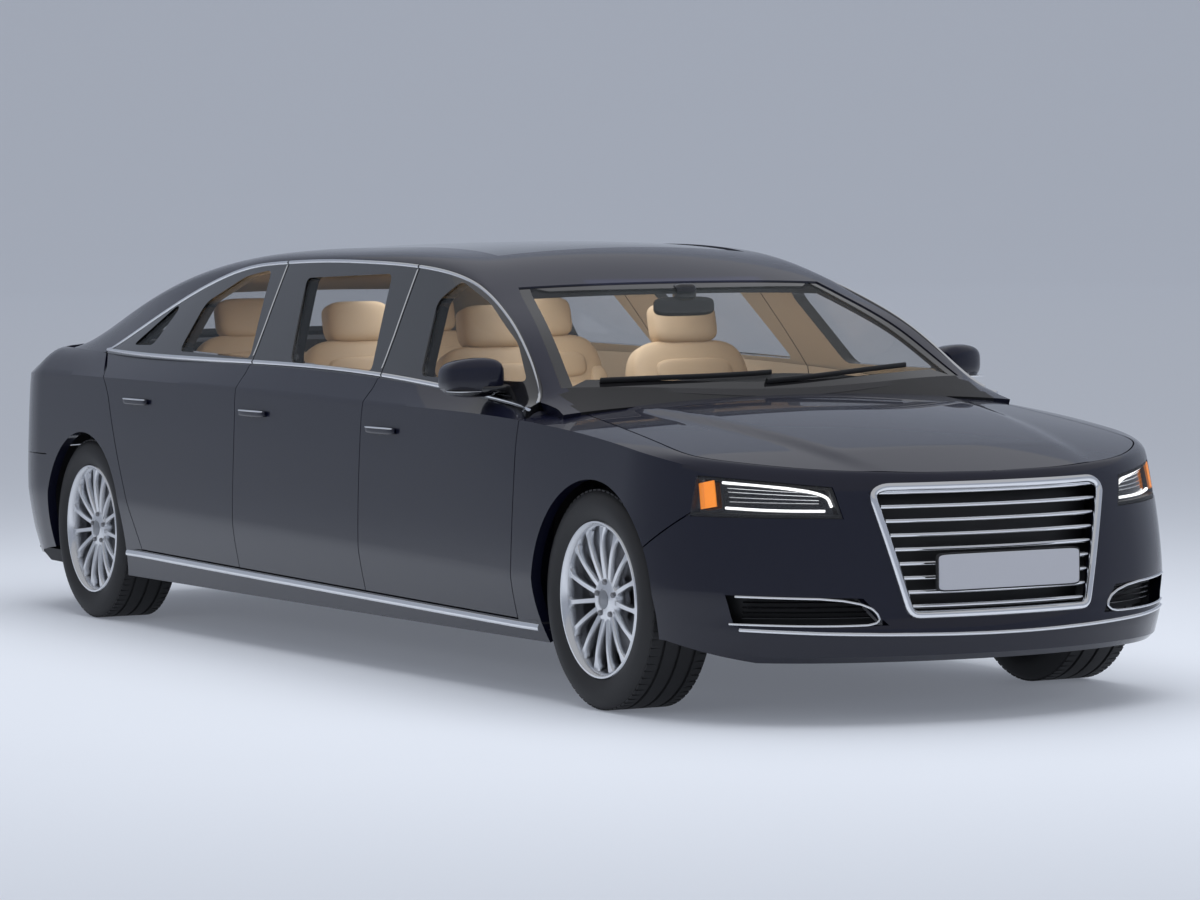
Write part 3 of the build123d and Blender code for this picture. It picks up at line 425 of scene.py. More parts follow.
sillZ = lambda x: np.interp(x, (-1500, 1660), (306, 262))


def rows(edges, counts):    # heights between edge lines, as functions of x
    def at(x):
        out = []
        for low, high, n in zip(edges[:-1], edges[1:], counts):
            t = np.linspace(0, 1, n, endpoint=False)
            out.append(low(x)[..., None] * (1 - t) + high(x)[..., None] * t)
        return np.concatenate(out + [edges[-1](x)[..., None]], -1)
    return at


def sidePatch(rear, front, edges, counts, columns, skin, passes=6):
    rearX = lined(rounded(rear))[1]
    frontX = lined(rounded(front))[1]
    u = np.linspace(0, 1, columns)[:, None]
    heights = rows(edges, counts)
    n = sum(counts) + 1
    z = np.full((columns, n), 700.0)
    x = np.zeros((columns, n))
    for _ in range(passes):
        x = rearX(z) + gap + (frontX(z) - rearX(z) - 2 * gap) * u
        z = np.stack([heights(x[:, j])[:, j] for j in range(n)], 1)
    return np.stack([x, -skin(x, z), z], 2)


def shellOf(p, q):    # a closed shell between an outer and an inner grid, with the inner faces last and their count returned
    nu, nv = p.shape[:2]
    k = nu * nv
    outer, inner = gridFaces(nu, nv), gridFaces(nu, nv, k, True)
    ring = np.array([i * nv for i in range(nu)] + [(nu - 1) * nv + j for j in range(1, nv)]
                    + [i * nv + nv - 1 for i in range(nu - 2, -1, -1)] + [j for j in range(nv - 2, 0, -1)])
    nxt = np.roll(ring, -1)
    wall = np.stack([nxt, ring, ring + k, nxt + k], 1)
    return np.concatenate([p.reshape(-1, 3), q.reshape(-1, 3)]), np.concatenate([outer, wall, inner]), len(inner)


def skinPanel(name, p, mats, body, thick=None, q=None):
    if q is None:
        q = p - gridNormals(p) * thick
    verts, faces, inside = shellOf(p, q)
    obj = meshObj(name, verts, faces, mats, body)
    index = np.zeros(len(faces), int)
    if len(mats) > 1:
        index[-inside:] = 1
    obj.data.polygons.foreach_set("material_index", index)
    obj.data.set_sharp_from_angle(angle=sharpAngle)
    return obj


def eased(outline, radius):    # a closed outline with its corners rounded
    p = np.asarray(outline, float)
    out = []
    for a, b, c in zip(np.roll(p, 1, 0), p, np.roll(p, -1, 0)):
        r1 = min(radius, np.linalg.norm(a - b) * 0.45)
        r2 = min(radius, np.linalg.norm(c - b) * 0.45)
        s, e = b + (a - b) / np.linalg.norm(a - b) * r1, b + (c - b) / np.linalg.norm(c - b) * r2
        out += [tuple((1 - t) ** 2 * s + 2 * t * (1 - t) * b + t * t * e) for t in np.linspace(0, 1, 6)]
    return out


def cutAll(obj, tools, how="DIFFERENCE"):
    for tool in tools:
        mod = obj.modifiers.new("cut", "BOOLEAN")
        mod.operation = how
        mod.solver = "EXACT"
        mod.object = tool
    bake(obj)
    drop(*tools)
    obj.data.set_sharp_from_angle(angle=sharpAngle)
    return obj


def merged(tools):    # several cutters as one
    bm = bmesh.new()
    for tool in tools:
        bm.from_mesh(tool.data)
    bm.to_mesh(tools[0].data)
    bm.free()
    drop(*tools[1:])
    return tools[0]


axles = {"front": 2195, "rear": -2025}
arch = {"radius": 386, "height": 356, "sides": 96}


def archTool(axle, span):    # cutter for the wheel arches of an axle
    angles = [math.tau * k / arch["sides"] for k in range(arch["sides"])]
    return prism([(axles[axle] + arch["radius"] * math.cos(a), arch["height"] + arch["radius"] * math.sin(a))
                  for a in angles], "y", span)


doorRows = {"edges": (sillZ, creaseZ, shoulderZ, beltZ), "counts": (8, 26, 8)}
doorSpans = {"front": (middleShut, frontShut, 60), "middle": (rearShut, middleShut, 56),
             "rear": (lastShut, rearShut, 60)}
for name, (rear, front, columns) in doorSpans.items():
    p = sidePatch(rear, front, doorRows["edges"], doorRows["counts"], columns, sideY)
    q = p.copy()
    depth = np.abs(p[..., 1]) - doorInner
    q[..., 0] += shutRake * depth
    q[..., 1] = -doorInner
    panelObj = skinPanel(f"doorSkin_{name}_right", p, [paint, lining], f"door_{name}_right", q=q)
    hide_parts(f"door_{name}_right")
    twin = mirrored(panelObj, f"doorSkin_{name}_left", f"door_{name}_left")
    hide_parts(f"door_{name}_left")

# window frames and glass
window = {"corner": 36, "frame": 44, "sunk": 5, "glass": 5}
windows = {
    "front": [((852, 1036), (704, 1290), (800, 1360), (1080, 1284), (1390, 1158), (1560, 1034))],
    "middle": [((-206, 1058), (-416, 1362), (266, 1382), (472, 1042))],
    "rear": [((-1250, 1078), (-1228, 1262), (-970, 1364), (-764, 1390), (-565, 1066)),
             ((-1755, 1092), (-1510, 1250), (-1470, 1235), (-1545, 1094))]}
frameTop = lambda x: np.maximum(daylightZ(x), beltZ(x) + 2)
frameSpans = {"front": (middleShut, ((1706, 0), (1706, 2000)), 70), "middle": (rearShut, middleShut, 50),
              "rear": (((-2000, 0), (-2000, 2000)), rearShut, 70)}
for name, (rear, front, columns) in frameSpans.items():
    p = sidePatch(rear, front, (beltZ, frameTop), (22,), columns, roofY)
    for side in ("right", "left"):
        obj = skinPanel(f"frame_{name}_{side}", p, [blackGloss, lining], f"door_{name}_right", window["frame"])
        cutAll(obj, [prism(eased(w, window["corner"]), "y", cutSpan["side"]) for w in windows[name]])
        pane = skinPanel(f"pane_{name}_{side}", p - gridNormals(p) * window["sunk"], [glass], f"door_{name}_right",
                         window["glass"])
        openings = [prism(eased(w, window["corner"]), "y", cutSpan["side"]) for w in windows[name]]
        cutAll(pane, [merged(openings)], "INTERSECT")
        if side == "left":
            for piece in (obj, pane):
                toLeft(piece)
                piece.parent = None
                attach(piece, f"door_{name}_left")
        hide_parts(f"glass_{name}_{side}")
print("doors")

# front end: wings and bumper in one skin
hoodLine = rounded(((1690, 771), (2412, 826), (2600, 836), (2690, 806), (2765, 752), (2842, 682), (2912, 600),
                    (2968, 510), (3012, 410), (3048, 310), (3072, 205), (3088, 0)), 2)


def lineFrom(points, start):    # the part of a line that lies beyond an x
    way = np.sign(points[-1, 0] - points[0, 0])
    keep = points[way * points[:, 0] > way * start]
    y = np.interp(way * start, way * points[:, 0], points[:, 1])
    return np.concatenate([[(start, y)], keep])


def meet(px, py, nx, ny, line):    # where inward rays from an end's plan meet a line seen from above
    out = []
    for x, y, u, v in zip(px, -py, nx, -ny):
        best = None
        for (ax, ay), (bx, by) in zip(line[:-1], line[1:]):
            ex, ey = bx - ax, by - ay
            det = u * ey - v * ex
            if abs(det) < 1e-9:
                continue
            d = ((x - ax) * ey - (y - ay) * ex) / det
            k = ((y - ay) * u - (x - ax) * v) / det
            if d > 0 and -0.01 <= k <= 1.01 and (best is None or d < best):
                best = d
        near = line[np.argmin(np.hypot(line[:, 0] - x, line[:, 1] - y))]
        out.append(near if best is None else (x - u * best, y - v * best))
    return np.array(out)


def wrap(name, profile, bottom, edgeLine, edgeZ, shut, counts, columns):
    px, py, nx, ny = endPlan(name, columns[0])
    inner = meet(px, py, nx, ny, edgeLine)
    heights = rows((bottom, creaseZ, shoulderZ), counts[:2])
    z = heights(px)
    x, y, z = endPoint(px[:, None], py[:, None], nx[:, None], ny[:, None], z, profile)
    end = np.stack([x, y, z], 2)
    shutX = lined(rounded(shut))[1]
    way = ends[name][1]
    u = np.linspace(0, 1, columns[1] + 1)[1:, None]
    zz = np.full((columns[1], end.shape[1]), 700.0)
    for _ in range(6):
        xx = px[-1] + (shutX(zz) + way * gap - px[-1]) * u
        zz = np.stack([heights(xx[:, j])[:, j] for j in range(zz.shape[1])], 1)
    side = np.stack([xx, -sideY(xx, zz), zz], 2)
    skin = np.concatenate([end, side])
    topX = px[-1] + (shut[-1][0] + way * gap - px[-1]) * u[:, 0]
    edge = np.concatenate([inner, np.stack([topX, np.interp(way * topX, way * edgeLine[:, 0], edgeLine[:, 1])], 1)])
    top = np.stack([edge[:, 0], -edge[:, 1], edgeZ(edge[:, 0], edge[:, 1])], 1)
    t = np.linspace(0, 1, counts[2] + 1)[1:, None]
    shoulder = skin[:, -1]
    run = top - shoulder
    reach = np.hypot(run[:, 0], run[:, 1])
    ahead = top + run * (20 / np.maximum(reach, 1))[:, None]
    slope = (edgeZ(ahead[:, 0], np.abs(ahead[:, 1])) - top[:, 2]) / 20
    knee = shoulder + run * 0.45
    knee[:, 2] = np.maximum(top[:, 2] - slope * 0.55 * reach, knee[:, 2])
    ease = np.concatenate([np.ones(len(px)), 1 - u[:, 0]])[:, None]
    knee = (shoulder + top) / 2 + (knee - (shoulder + top) / 2) * ease
    shelf = (1 - t) ** 2 * shoulder[:, None] + 2 * t * (1 - t) * knee[:, None] + t**2 * top[:, None]
    half = np.concatenate([skin, shelf], 1)
    other = half[:0:-1].copy()
    other[..., 1] *= -1
    full = np.concatenate([other, half])
    return full if way < 0 else full[::-1]


def bothSides(outline):
    return outline, tuple((-y, z) for y, z in outline)[::-1]


lampEdge = ((1000, 662), (898, 648), (510, 640), (532, 738), (880, 778), (1000, 790))
grilleEdge = ((366, 748), (430, 720), (330, 334), (-330, 334), (-430, 720), (-366, 748))
intakeEdge = ((822, 408), (470, 396), (400, 312), (800, 312))
chinZ = lambda x: np.interp(x, (1800, 2600, 2900), (256, 256, 195))
wingJoint = ((2500, 520), (2500, 526), (2712, 668), (2715, 664))
endSkin = {"counts": (10, 26, 8), "frontColumns": (70, 50), "rearColumns": (70, 40), "thick": 36}
frontGrid = wrap("front", noseProfile, chinZ, hoodLine + np.array([0, gap]), topZ, frontShut, endSkin["counts"],
                 endSkin["frontColumns"])
frontSkin = skinPanel("frontSkin", frontGrid, [paint, under], "car", endSkin["thick"])
tools = [archTool("front", cutSpan["across"]), prism(grilleEdge, "x", cutSpan["grille"])]
tools += [prism(half, "x", cutSpan["lamp"]) for half in bothSides(lampEdge) + bothSides(intakeEdge)]
tools.append(prism(wingJoint, "y", cutSpan["across"]))
cutAll(frontSkin, tools)
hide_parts("front_bumper", "fender_right", "fender_left")



def topGrid(sideLine, middle, across):    # x and y of a panel between its side line and its ends on the car's middle
    t = np.linspace(-1, 1, across)[:, None]
    middleX = np.linspace(*middle, len(sideLine))
    return middleX + (sideLine[:, 0] - middleX) * np.abs(t) ** 2, sideLine[:, 1] * t


# hood with its two creases
hood = {"middle": (1868, 3085), "corner": 1703, "along": 60, "across": 61, "thick": 30,
        "crease": (590, 360), "creaseWidth": 60, "rise": 10, "fade": 260, "fadeFrom": 1700}
sideLine = alongLine(lineFrom(hoodLine, hood["corner"])[:-1] - np.array([0, gap]), hood["along"])
x, y = topGrid(sideLine, hood["middle"], hood["across"])
fold = np.clip((np.abs(y) - np.interp(x, hood["middle"], hood["crease"])) / hood["creaseWidth"], 0, 1)
fade = (np.clip((hood["middle"][1] - x) / hood["fade"], 0, 1)
        * np.clip((x - hood["fadeFrom"]) / hood["fade"], 0, 1))
p = np.stack([x, y, topZ(x, y) + hood["rise"] * (1 - fold * fold * (3 - 2 * fold)) * fade], 2)
hoodSkin = skinPanel("hoodSkin", p[::-1], [paint, under], "hood", hood["thick"])
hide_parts("hood")
print("front")

# rear end: quarters and bumper in one skin, and the lid with its part of the face
lidLine = rounded(((-1760, 866), (-2025, 858), (-2470, 838), (-2560, 808), (-2590, 700), (-2880, 690), (-2960, 640),
                   (-3008, 545), (-3042, 450), (-3070, 355), (-3092, 265), (-3116, 0)), 2)
tailZ = lambda x: np.interp(x, (-2800, -2420, -1500), (212, 262, 304))
p = wrap("rear", tailProfile, tailZ, lidLine, topZ, lastShut, endSkin["counts"], endSkin["rearColumns"])
rearSkin = skinPanel("rearSkin", p, [paint, under], "car", endSkin["thick"])
lidFace = rearSkin.copy()
lidFace.data = rearSkin.data.copy()
lidFace.name = "lidFace"
lidFace.parent = None
scene.collection.objects.link(lidFace)
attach(lidFace, "trunk_lid")
lampRoom = ((506, 822), (506, 925), (1000, 948), (1000, 846))
lidRoom = ((-503, 637), (503, 637), (503, 1200), (-503, 1200))
lidEdge = ((-497, 643), (497, 643), (497, 1200), (-497, 1200))
bumperJoint = ((-2400, 638), (-2400, 642), (-3400, 642), (-3400, 638))
tools = [archTool("rear", cutSpan["across"]), prism(lidRoom, "x", cutSpan["tail"])]
tools += [prism(half, "x", cutSpan["tailLamp"]) for half in bothSides(lampRoom)]
tools.append(prism(bumperJoint, "y", cutSpan["across"]))
cutAll(rearSkin, tools)
cutAll(lidFace, [prism(lidEdge, "x", cutSpan["tail"])], "INTERSECT")
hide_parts("rear_bumper")
tail = {"edge": ((509, 825), (509, 922), (1000, 945), (1000, 849)), "sunk": 2, "thick": 30}
tailLens = skinPanel("tailLens", p - gridNormals(p) * tail["sunk"], [redLens], "car", tail["thick"])
cutAll(tailLens, [merged([prism(half, "x", cutSpan["tailLens"]) for half in bothSides(tail["edge"])])], "INTERSECT")
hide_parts("tail_lamps")
lid = {"middle": (-2598, -3113), "start": -2592, "corner": (-2580, 694), "along": 40, "across": 51, "thick": 30}
sideLine = alongLine(lineFrom(lidLine, lid["start"])[:-1] - np.array([0, gap]), lid["along"])
sideLine[0] = lid["corner"]
x, y = topGrid(sideLine, lid["middle"], lid["across"])
lidSkin = skinPanel("lidSkin", np.stack([x, y, topZ(x, y)], 2), [paint, under], "trunk_lid", lid["thick"])
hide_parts("trunk_lid")
print("rear")

# roof, pillars and screens
roof = {"span": (-2556, 1866), "columns": 200, "doors": (-2010, 1716), "rail": 8, "bend": 45, "run": 95, "thick": 40}
cowl = {"x": 1.700, "half": 0.80}    # metres: the dark shelf ahead of the windscreen
xs = np.linspace(*roof["span"], roof["columns"])
c = upperAt(xs)
lowZ = np.where((xs > roof["doors"][0]) & (xs < roof["doors"][1]), daylightZ(xs) + 1, c[:, 1])
lowZ = np.minimum(lowZ, c[:, 3] - roof["rail"])
low = np.stack([xs, -roofY(xs, lowZ), lowZ], 1)
start = np.maximum(c[:, 3] - roof["bend"], lowZ + 1)
first = np.stack([xs, -roofY(xs, start), start], 1)
rail = np.stack([xs, -c[:, 2], c[:, 3]], 1)
innerY = c[:, 2] - roof["run"]
last = np.stack([xs, -innerY, roofZ(xs, innerY)], 1)
parts = [low + (first - low) * k / 3 for k in range(3)]
parts += [(1 - k) ** 2 * first + 2 * k * (1 - k) * rail + k * k * last for k in np.linspace(0, 1, 9)]
for k in np.linspace(0, 1, 26)[1:]:
    y = innerY * (1 - k)
    parts.append(np.stack([xs, -y, roofZ(xs, y)], 1))
half = np.stack(parts, 1)
other = half[:, -2::-1].copy()
other[..., 1] *= -1
roofSkin = skinPanel("roofSkin", np.concatenate([half, other], 1), [paint, lining], "car", roof["thick"])


def topOutline(edge, bows, grow=0.0):    # a closed outline seen from above, with its two ends bowed
    edge = np.asarray(edge, float)
    edge = edge + np.array([0, grow])
    turn = np.linspace(1, -1, 25)[1:-1]
    way = np.sign(edge[-1, 0] - edge[0, 0])
    lastX = edge[-1, 0] + way * grow + bows[0] * (1 - turn**2)
    firstX = edge[0, 0] - way * grow + bows[1] * (1 - turn**2)
    ring = [tuple(v) for v in edge]
    ring += [(a, b * edge[-1, 1]) for a, b in zip(lastX, turn)]
    ring += [(a, -b) for a, b in edge[::-1]]
    ring += [(a, -b * edge[0, 1]) for a, b in zip(firstX, turn)]
    return ring


screens = {    # side edge from above, bows of the last and first end, span in x, finish, width of the dark band
    "windscreen": (((1684, 778), (1410, 706), (1108, 622), (1040, 598)), (60, 148), (980, 1866), glass, 40),
    "rearScreen": (((-2490, 590), (-1830, 556)), (-50, -50), (-2556, -1750), glass, 30),
    "roofGlass": (((-1450, 500), (700, 500)), (20, -20), (-1520, 780), blackGloss, 0)}
screenGrid = {"half": 800, "count": 90, "sunk": 5, "thick": 5, "gap": 2.0}
tools, panes = [], {}
for name, (edge, bows, span, mat, band) in screens.items():
    tools.append(prism(topOutline(edge, bows), "z", cutSpan["roof"]))
    x, y = np.meshgrid(np.linspace(*span, screenGrid["count"]),
                       np.linspace(-screenGrid["half"], screenGrid["half"], screenGrid["count"]), indexing="ij")
    grid = np.stack([x, y, roofZ(x, y) - screenGrid["sunk"]], 2)
    outside, inside = -screenGrid["gap"], -screenGrid["gap"] - band
    panes[name] = skinPanel(name, grid, [mat], "car", screenGrid["thick"])
    cutAll(panes[name], [prism(topOutline(edge, bows, inside), "z", cutSpan["pane"])], "INTERSECT")
    if band:
        rim = skinPanel(name + "Band", grid, [blackGloss], "car", screenGrid["thick"])
        cutAll(rim, [prism(topOutline(edge, bows, outside), "z", cutSpan["pane"])], "INTERSECT")
        cutAll(rim, [prism(topOutline(edge, bows, inside), "z", cutSpan["pane"])])
cutAll(roofSkin, tools)
roofSkin.data.materials.append(blackMatt)
for face in roofSkin.data.polygons:
    if face.center.x > cowl["x"] and abs(face.center.y) < cowl["half"]:
        face.material_index = 2
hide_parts("roof_panel", "body_side_right", "body_side_left")
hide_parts("fixed_glass")
print("roof")


def strip(name, points, normals, width, height, mat, body):    # a half-round moulding along a line on the skin
    p, n = np.asarray(points, float), np.asarray(normals, float)
    t = np.gradient(p, axis=0)
    t /= np.linalg.norm(t, axis=1, keepdims=True)
    n = n / np.linalg.norm(n, axis=1, keepdims=True)
    b = np.cross(n, t)
    ring = [(math.cos(a) * width / 2, max(math.sin(a), 0) * height) for a in np.linspace(0, math.pi, 7)]
    ring += [(-width / 2, -4), (width / 2, -4)]
    verts = np.stack([p + b * u + n * v for u, v in ring], 1)
    m, k = len(p), len(ring)
    faces = [(i * k + j, i * k + (j + 1) % k, (i + 1) * k + (j + 1) % k, (i + 1) * k + j)
             for i in range(m - 1) for j in range(k)]
    faces += [tuple(range(k))[::-1], tuple((m - 1) * k + j for j in range(k))]
    obj = outward(meshObj(name, verts.reshape(-1, 3), faces, mat, body))
    obj.data.set_sharp_from_angle(angle=math.radians(50))
    return obj


def skinNormal(skin, x, z):
    dx = (skin(x + 2, z) - skin(x - 2, z)) / 4
    dz = (skin(x, z + 2) - skin(x, z - 2)) / 4
    return np.stack([dx, -np.ones_like(x), dz], -1)


def onSkin(skin, line, count):
    q = alongLine(line, count)
    x, z = q[:, 0], q[:, 1]
    return np.stack([x, -skin(x, z), z], 1), skinNormal(skin, x, z)


doorX = {"front": (578, 1708), "middle": (-510, 566), "rear": (-2000, -522)}
topX = {"front": (452, 1700), "middle": (-634, 440), "rear": (-1996, -646)}
for name in doorX:
    x = np.linspace(*doorX[name], 40)
    lines = {"belt": (roofY, np.stack([x, beltZ(x) + 9], 1), 20, 6)}
    x = np.linspace(*topX[name], 60)
    lines["top"] = (roofY, np.stack([x, np.maximum(frameTop(x) - 7, beltZ(x) + 12)], 1), 14, 5)
    for kind, (skin, line, width, height) in lines.items():
        points, normals = onSkin(skin, line, 60)
        obj = strip(f"{kind}Strip_{name}_right", points, normals, width, height, chrome, f"door_{name}_right")
        mirrored(obj, f"{kind}Strip_{name}_left", f"door_{name}_left")
for name, shut in (("middle", middleShut), ("rear", rearShut)):
    shutX = lined(rounded(shut))[1]
    z = np.linspace(beltZ(shutX(1050.0)) + 34, frameTop(shutX(1400.0)) - 16, 30)
    x = shutX(z) - 12
    points = np.stack([x, -roofY(x, z), z], 1)
    obj = strip(f"pillarStrip_{name}_right", points, skinNormal(roofY, x, z), 10, 4, chrome, f"door_{name}_right")
    mirrored(obj, f"pillarStrip_{name}_left", f"door_{name}_left")
print("strips")

# sills with their bright strip
sill = {"span": (-1700, 1850), "columns": 60, "rows": 8, "bottom": 192, "gap": 6, "thick": 30}
sillStrip = {"span": (-1640, 1800), "drop": 22, "count": 90, "width": 26, "height": 7}
x = np.linspace(*sill["span"], sill["columns"])[:, None]
t = np.linspace(0, 1, sill["rows"])[None, :]
z = sill["bottom"] + (sillZ(x) - sill["gap"] - sill["bottom"]) * t
p = np.stack([x + 0 * t, -sideY(x + 0 * t, z), z], 2)
sillSkin = skinPanel("sillSkin_right", p, [paint, under], "car", sill["thick"])
cutAll(sillSkin, [archTool(axle, cutSpan["sill"]) for axle in axles])
mirrored(sillSkin, "sillSkin_left", "car")
x = np.linspace(*sillStrip["span"], 80)
points, normals = onSkin(sideY, np.stack([x, sillZ(x) - sillStrip["drop"]], 1), sillStrip["count"])
obj = strip("sillStrip_right", points, normals, sillStrip["width"], sillStrip["height"], chrome, "car")
mirrored(obj, "sillStrip_left", "car")

# door handles: a dished recess painted black as its shade, a bar and its bright line
handles = {"front": (694, 846), "middle": (-381, 870), "rear": (-1475, 880)}


def bar(name, centre, half, power, mat, body, count=(20, 28)):    # a rounded block
    u = np.linspace(-math.pi / 2, math.pi / 2, count[0])[:, None]
    v = np.linspace(-math.pi, math.pi, count[1], endpoint=False)[None, :]
    bend = lambda a: np.sign(a) * np.abs(a) ** power
    p = np.stack([half[0] * bend(np.cos(u)) * bend(np.cos(v)), half[1] * bend(np.cos(u)) * bend(np.sin(v)),
                  half[2] * bend(np.sin(u)) + 0 * v], 2) + np.asarray(centre, float)
    nu, nv = p.shape[:2]
    faces = [(i * nv + j, i * nv + (j + 1) % nv, (i + 1) * nv + (j + 1) % nv, (i + 1) * nv + j)
             for i in range(nu - 1) for j in range(nv)]
    return outward(meshObj(name, p.reshape(-1, 3), faces, mat, body), True)


for name, (hx, hz) in handles.items():
    body = f"door_{name}_right"
    y = -float(sideY(np.array(hx), np.array(hz)))
    # the black matt pocket is painted shade in the recess behind the handle
    pieces = [bar(f"handlePocket_{name}_right", (hx - 20, y + 10, hz - 6), (62, 12, 26), 1.0, blackMatt, body),
              bar(f"handleBar_{name}_right", (hx, y - 8, hz), (112, 11, 13), 0.5, paint, body),
              bar(f"handleLine_{name}_right", (hx, y - 15, hz + 9), (108, 5, 3.2), 0.5, chrome, body)]
    for obj in pieces:
        mirrored(obj, obj.name.replace("right", "left"), f"door_{name}_left")

# door mirrors
wing = {"centre": (1384, -962, 1046), "half": (88, 92, 66), "taper": (0.18, 0.16), "sweep": 26, "rise": 6,
        "glassX": 1.318, "underZ": 1.008}    # the last two in metres
shape = bar("mirrorSkin_right", (0, 0, 0), (1, 1, 1), 0.6, [paint, blackGloss], "door_front_right", (24, 36))
v = np.empty(len(shape.data.vertices) * 3)
shape.data.vertices.foreach_get("co", v)
v = v.reshape(-1, 3) * 1000
outer = np.clip(-v[:, 1], 0, 1)
out = np.stack([
    wing["centre"][0] + v[:, 0] * wing["half"][0] * (1 - wing["taper"][0] * outer)
    - wing["sweep"] * np.clip(-v[:, 1], -1, 1),
    wing["centre"][1] + v[:, 1] * wing["half"][1],
    wing["centre"][2] + v[:, 2] * wing["half"][2] * (1 - wing["taper"][1] * outer) + wing["rise"] * v[:, 0]], 1)
shape.data.vertices.foreach_set("co", (out * 0.001).ravel())
for face in shape.data.polygons:
    face.material_index = 1 if face.center.x < wing["glassX"] or face.center.z < wing["underZ"] else 0
foot = bar("mirrorFoot_right", (1432, -905, 1010), (52, 62, 15), 0.6, blackGloss, "door_front_right")
lineObj = bar("mirrorLine_right", (1400, -975, 1002), (66, 74, 4), 0.7, chrome, "door_front_right")
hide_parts("mirror_right")
for obj in (shape, foot, lineObj):
    twin = mirrored(obj, obj.name.replace("right", "left"), "door_front_left")
    if obj is shape:
        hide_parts("mirror_left")
print("sides")

# front end details on the same skin as the wings and bumper
skinNormals = gridNormals(frontGrid)


def frontLayer(name, depth, thick, mat, outlines):    # a layer under the front skin, kept to outlines seen from ahead
    obj = skinPanel(name, frontGrid - skinNormals * depth, [mat], "car", thick)
    return cutAll(obj, [merged([prism(outline, "x", cutSpan["nose"]) for outline in outlines])], "INTERSECT")


lensEdge = ((1000, 665), (898, 651), (513, 643), (535, 735), (880, 775), (1000, 787))
lens = frontLayer("lampLens", 1, 4, clearLens, bothSides(lensEdge))
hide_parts("headlamp_lenses")
bowl = frontLayer("lampBowl", 30, 8, blackGloss, bothSides(lampEdge))
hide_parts("headlamps")
rim = frontLayer("lampRim", 6, 50, blackMatt, bothSides(lampEdge))
rimRoom = ((1100, 674), (898, 660), (521, 652), (541, 727), (880, 767), (1100, 780))
cutAll(rim, [prism(half, "x", cutSpan["nose"]) for half in bothSides(rimRoom)])
intake = frontLayer("intakeBack", 60, 10, blackMatt, bothSides(intakeEdge))
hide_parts("intakes")


def frontAt(y, z):    # point and normal of the front skin at a half-width and a height
    px, py, nx, ny = endPlan("front", 400)
    x, yy, _ = endPoint(px, py, nx, ny, np.full(400, float(z)), noseProfile)
    order = np.argsort(-yy)
    at = lambda a: np.interp(-abs(y), yy[order][::-1], a[order][::-1])
    sign = 1 if y < 0 else -1
    return np.array([at(x), y, z]), np.array([at(nx), sign * at(ny), 0.0])


def frontStrip(name, line, width, height, mat, depth=0.0):
    places = [frontAt(y, z) for y, z in line]
    points = np.array([p - n * depth for p, n in places])
    return strip(name, points, np.array([n for p, n in places]), width, height, mat, "car")


def smoothLine(points, count):
    return alongLine(rounded(points, 2), count)


drl = material("drl", (0.95, 0.96, 1.0), 0.2, 0.0, 0.0, **{"Emission Color": (1, 1, 1, 1), "Emission Strength": 1.6})
amber = material("amber", (0.9, 0.25, 0.02), 0.15, 0.0, 0.6,
                 **{"Emission Color": (1, 0.3, 0.03, 1), "Emission Strength": 0.5})
bladeZ = ((734, 722), (722, 712), (706, 700), (692, 690))
frontLines = [    # name, line as half widths and heights, points, width, height, finish, depth under the skin
    ("lampUpper", ((806, 752), (700, 742), (552, 716), (540, 676)), 40, 9, 5, drl, 20),
    ("lampLower", ((808, 674), (700, 666), (560, 664)), 40, 8, 5, drl, 20),
    ("lampAmber", ((836, 754), (838, 716), (840, 674)), 16, 58, 6, amber, 10),
    ("intakeFrame", ((800, 404), (470, 392), (402, 316), (560, 312), (810, 318)), 90, 9, 6, chrome, 0)]
frontLines += [(f"lampBlade_{row}", ((800, z0), (700, (z0 + z1) / 2 - 2), (575, z1 - 4)), 30, 5, 6, chrome, 34)
               for row, (z0, z1) in enumerate(bladeZ)]
frontLines += [(f"intakeBlade_{row}", ((790, z), (620, z), (430 + (z - 312) * 0.7, z)), 30, 6, 10, blackGloss, 34)
               for row, z in enumerate((336, 352, 368, 384))]
for side, tag in ((-1, "right"), (1, "left")):
    for name, line, count, width, height, mat, depth in frontLines:
        frontStrip(f"{name}_{tag}", smoothLine([(side * y, z) for y, z in line], count), width, height, mat, depth)
frontStrip("lowerLine", smoothLine(((-790, 300), (-500, 286), (0, 276), (500, 286), (790, 300)), 120), 12, 6, chrome)
print("lamps")

# grille: frame, slats, back and a blank plate
plate = {"size": (520, 110), "at": (3168, 0, 472), "rim": 5, "square": 0.12}
grille = {"slats": 9, "bottom": 340, "top": 736, "widthZ": (340, 714, 736), "half": (322, 418, 392), "clear": 10}
back = frontLayer("grilleBack", 75, 8, blackMatt, (grilleEdge,))
frameLine = eased(((388, 736), (424, 714), (326, 340), (-326, 340), (-424, 714), (-388, 736)), 26)
places = [frontAt(y, z) for y, z in alongLine(np.array(frameLine + frameLine[:1]), 240)]
strip("grilleFrame", [p for p, n in places], [n for p, n in places], 26, 12, chrome, "car")
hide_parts("grille")
for row in range(grille["slats"]):
    z = grille["bottom"] + (grille["top"] - grille["bottom"]) * (row + 0.6) / grille["slats"]
    half = np.interp(z, grille["widthZ"], grille["half"]) - grille["clear"]
    frontStrip(f"slat_{row}", np.stack([np.linspace(-half, half, 40), np.full(40, z)], 1), 15, 10, chrome, 16)
w, h = plate["size"]
cx, cy, cz = plate["at"]
bar("plateBoard", (cx - 6, cy, cz), (7, w / 2 + plate["rim"], h / 2 + plate["rim"]), plate["square"], blackMatt,
    "car")
plateFace = material("plateFace", (0.42, 0.43, 0.47), 0.4)
bar("plateFace", (cx, cy, cz), (4, w / 2, h / 2), plate["square"], plateFace, "car")
print("grille")

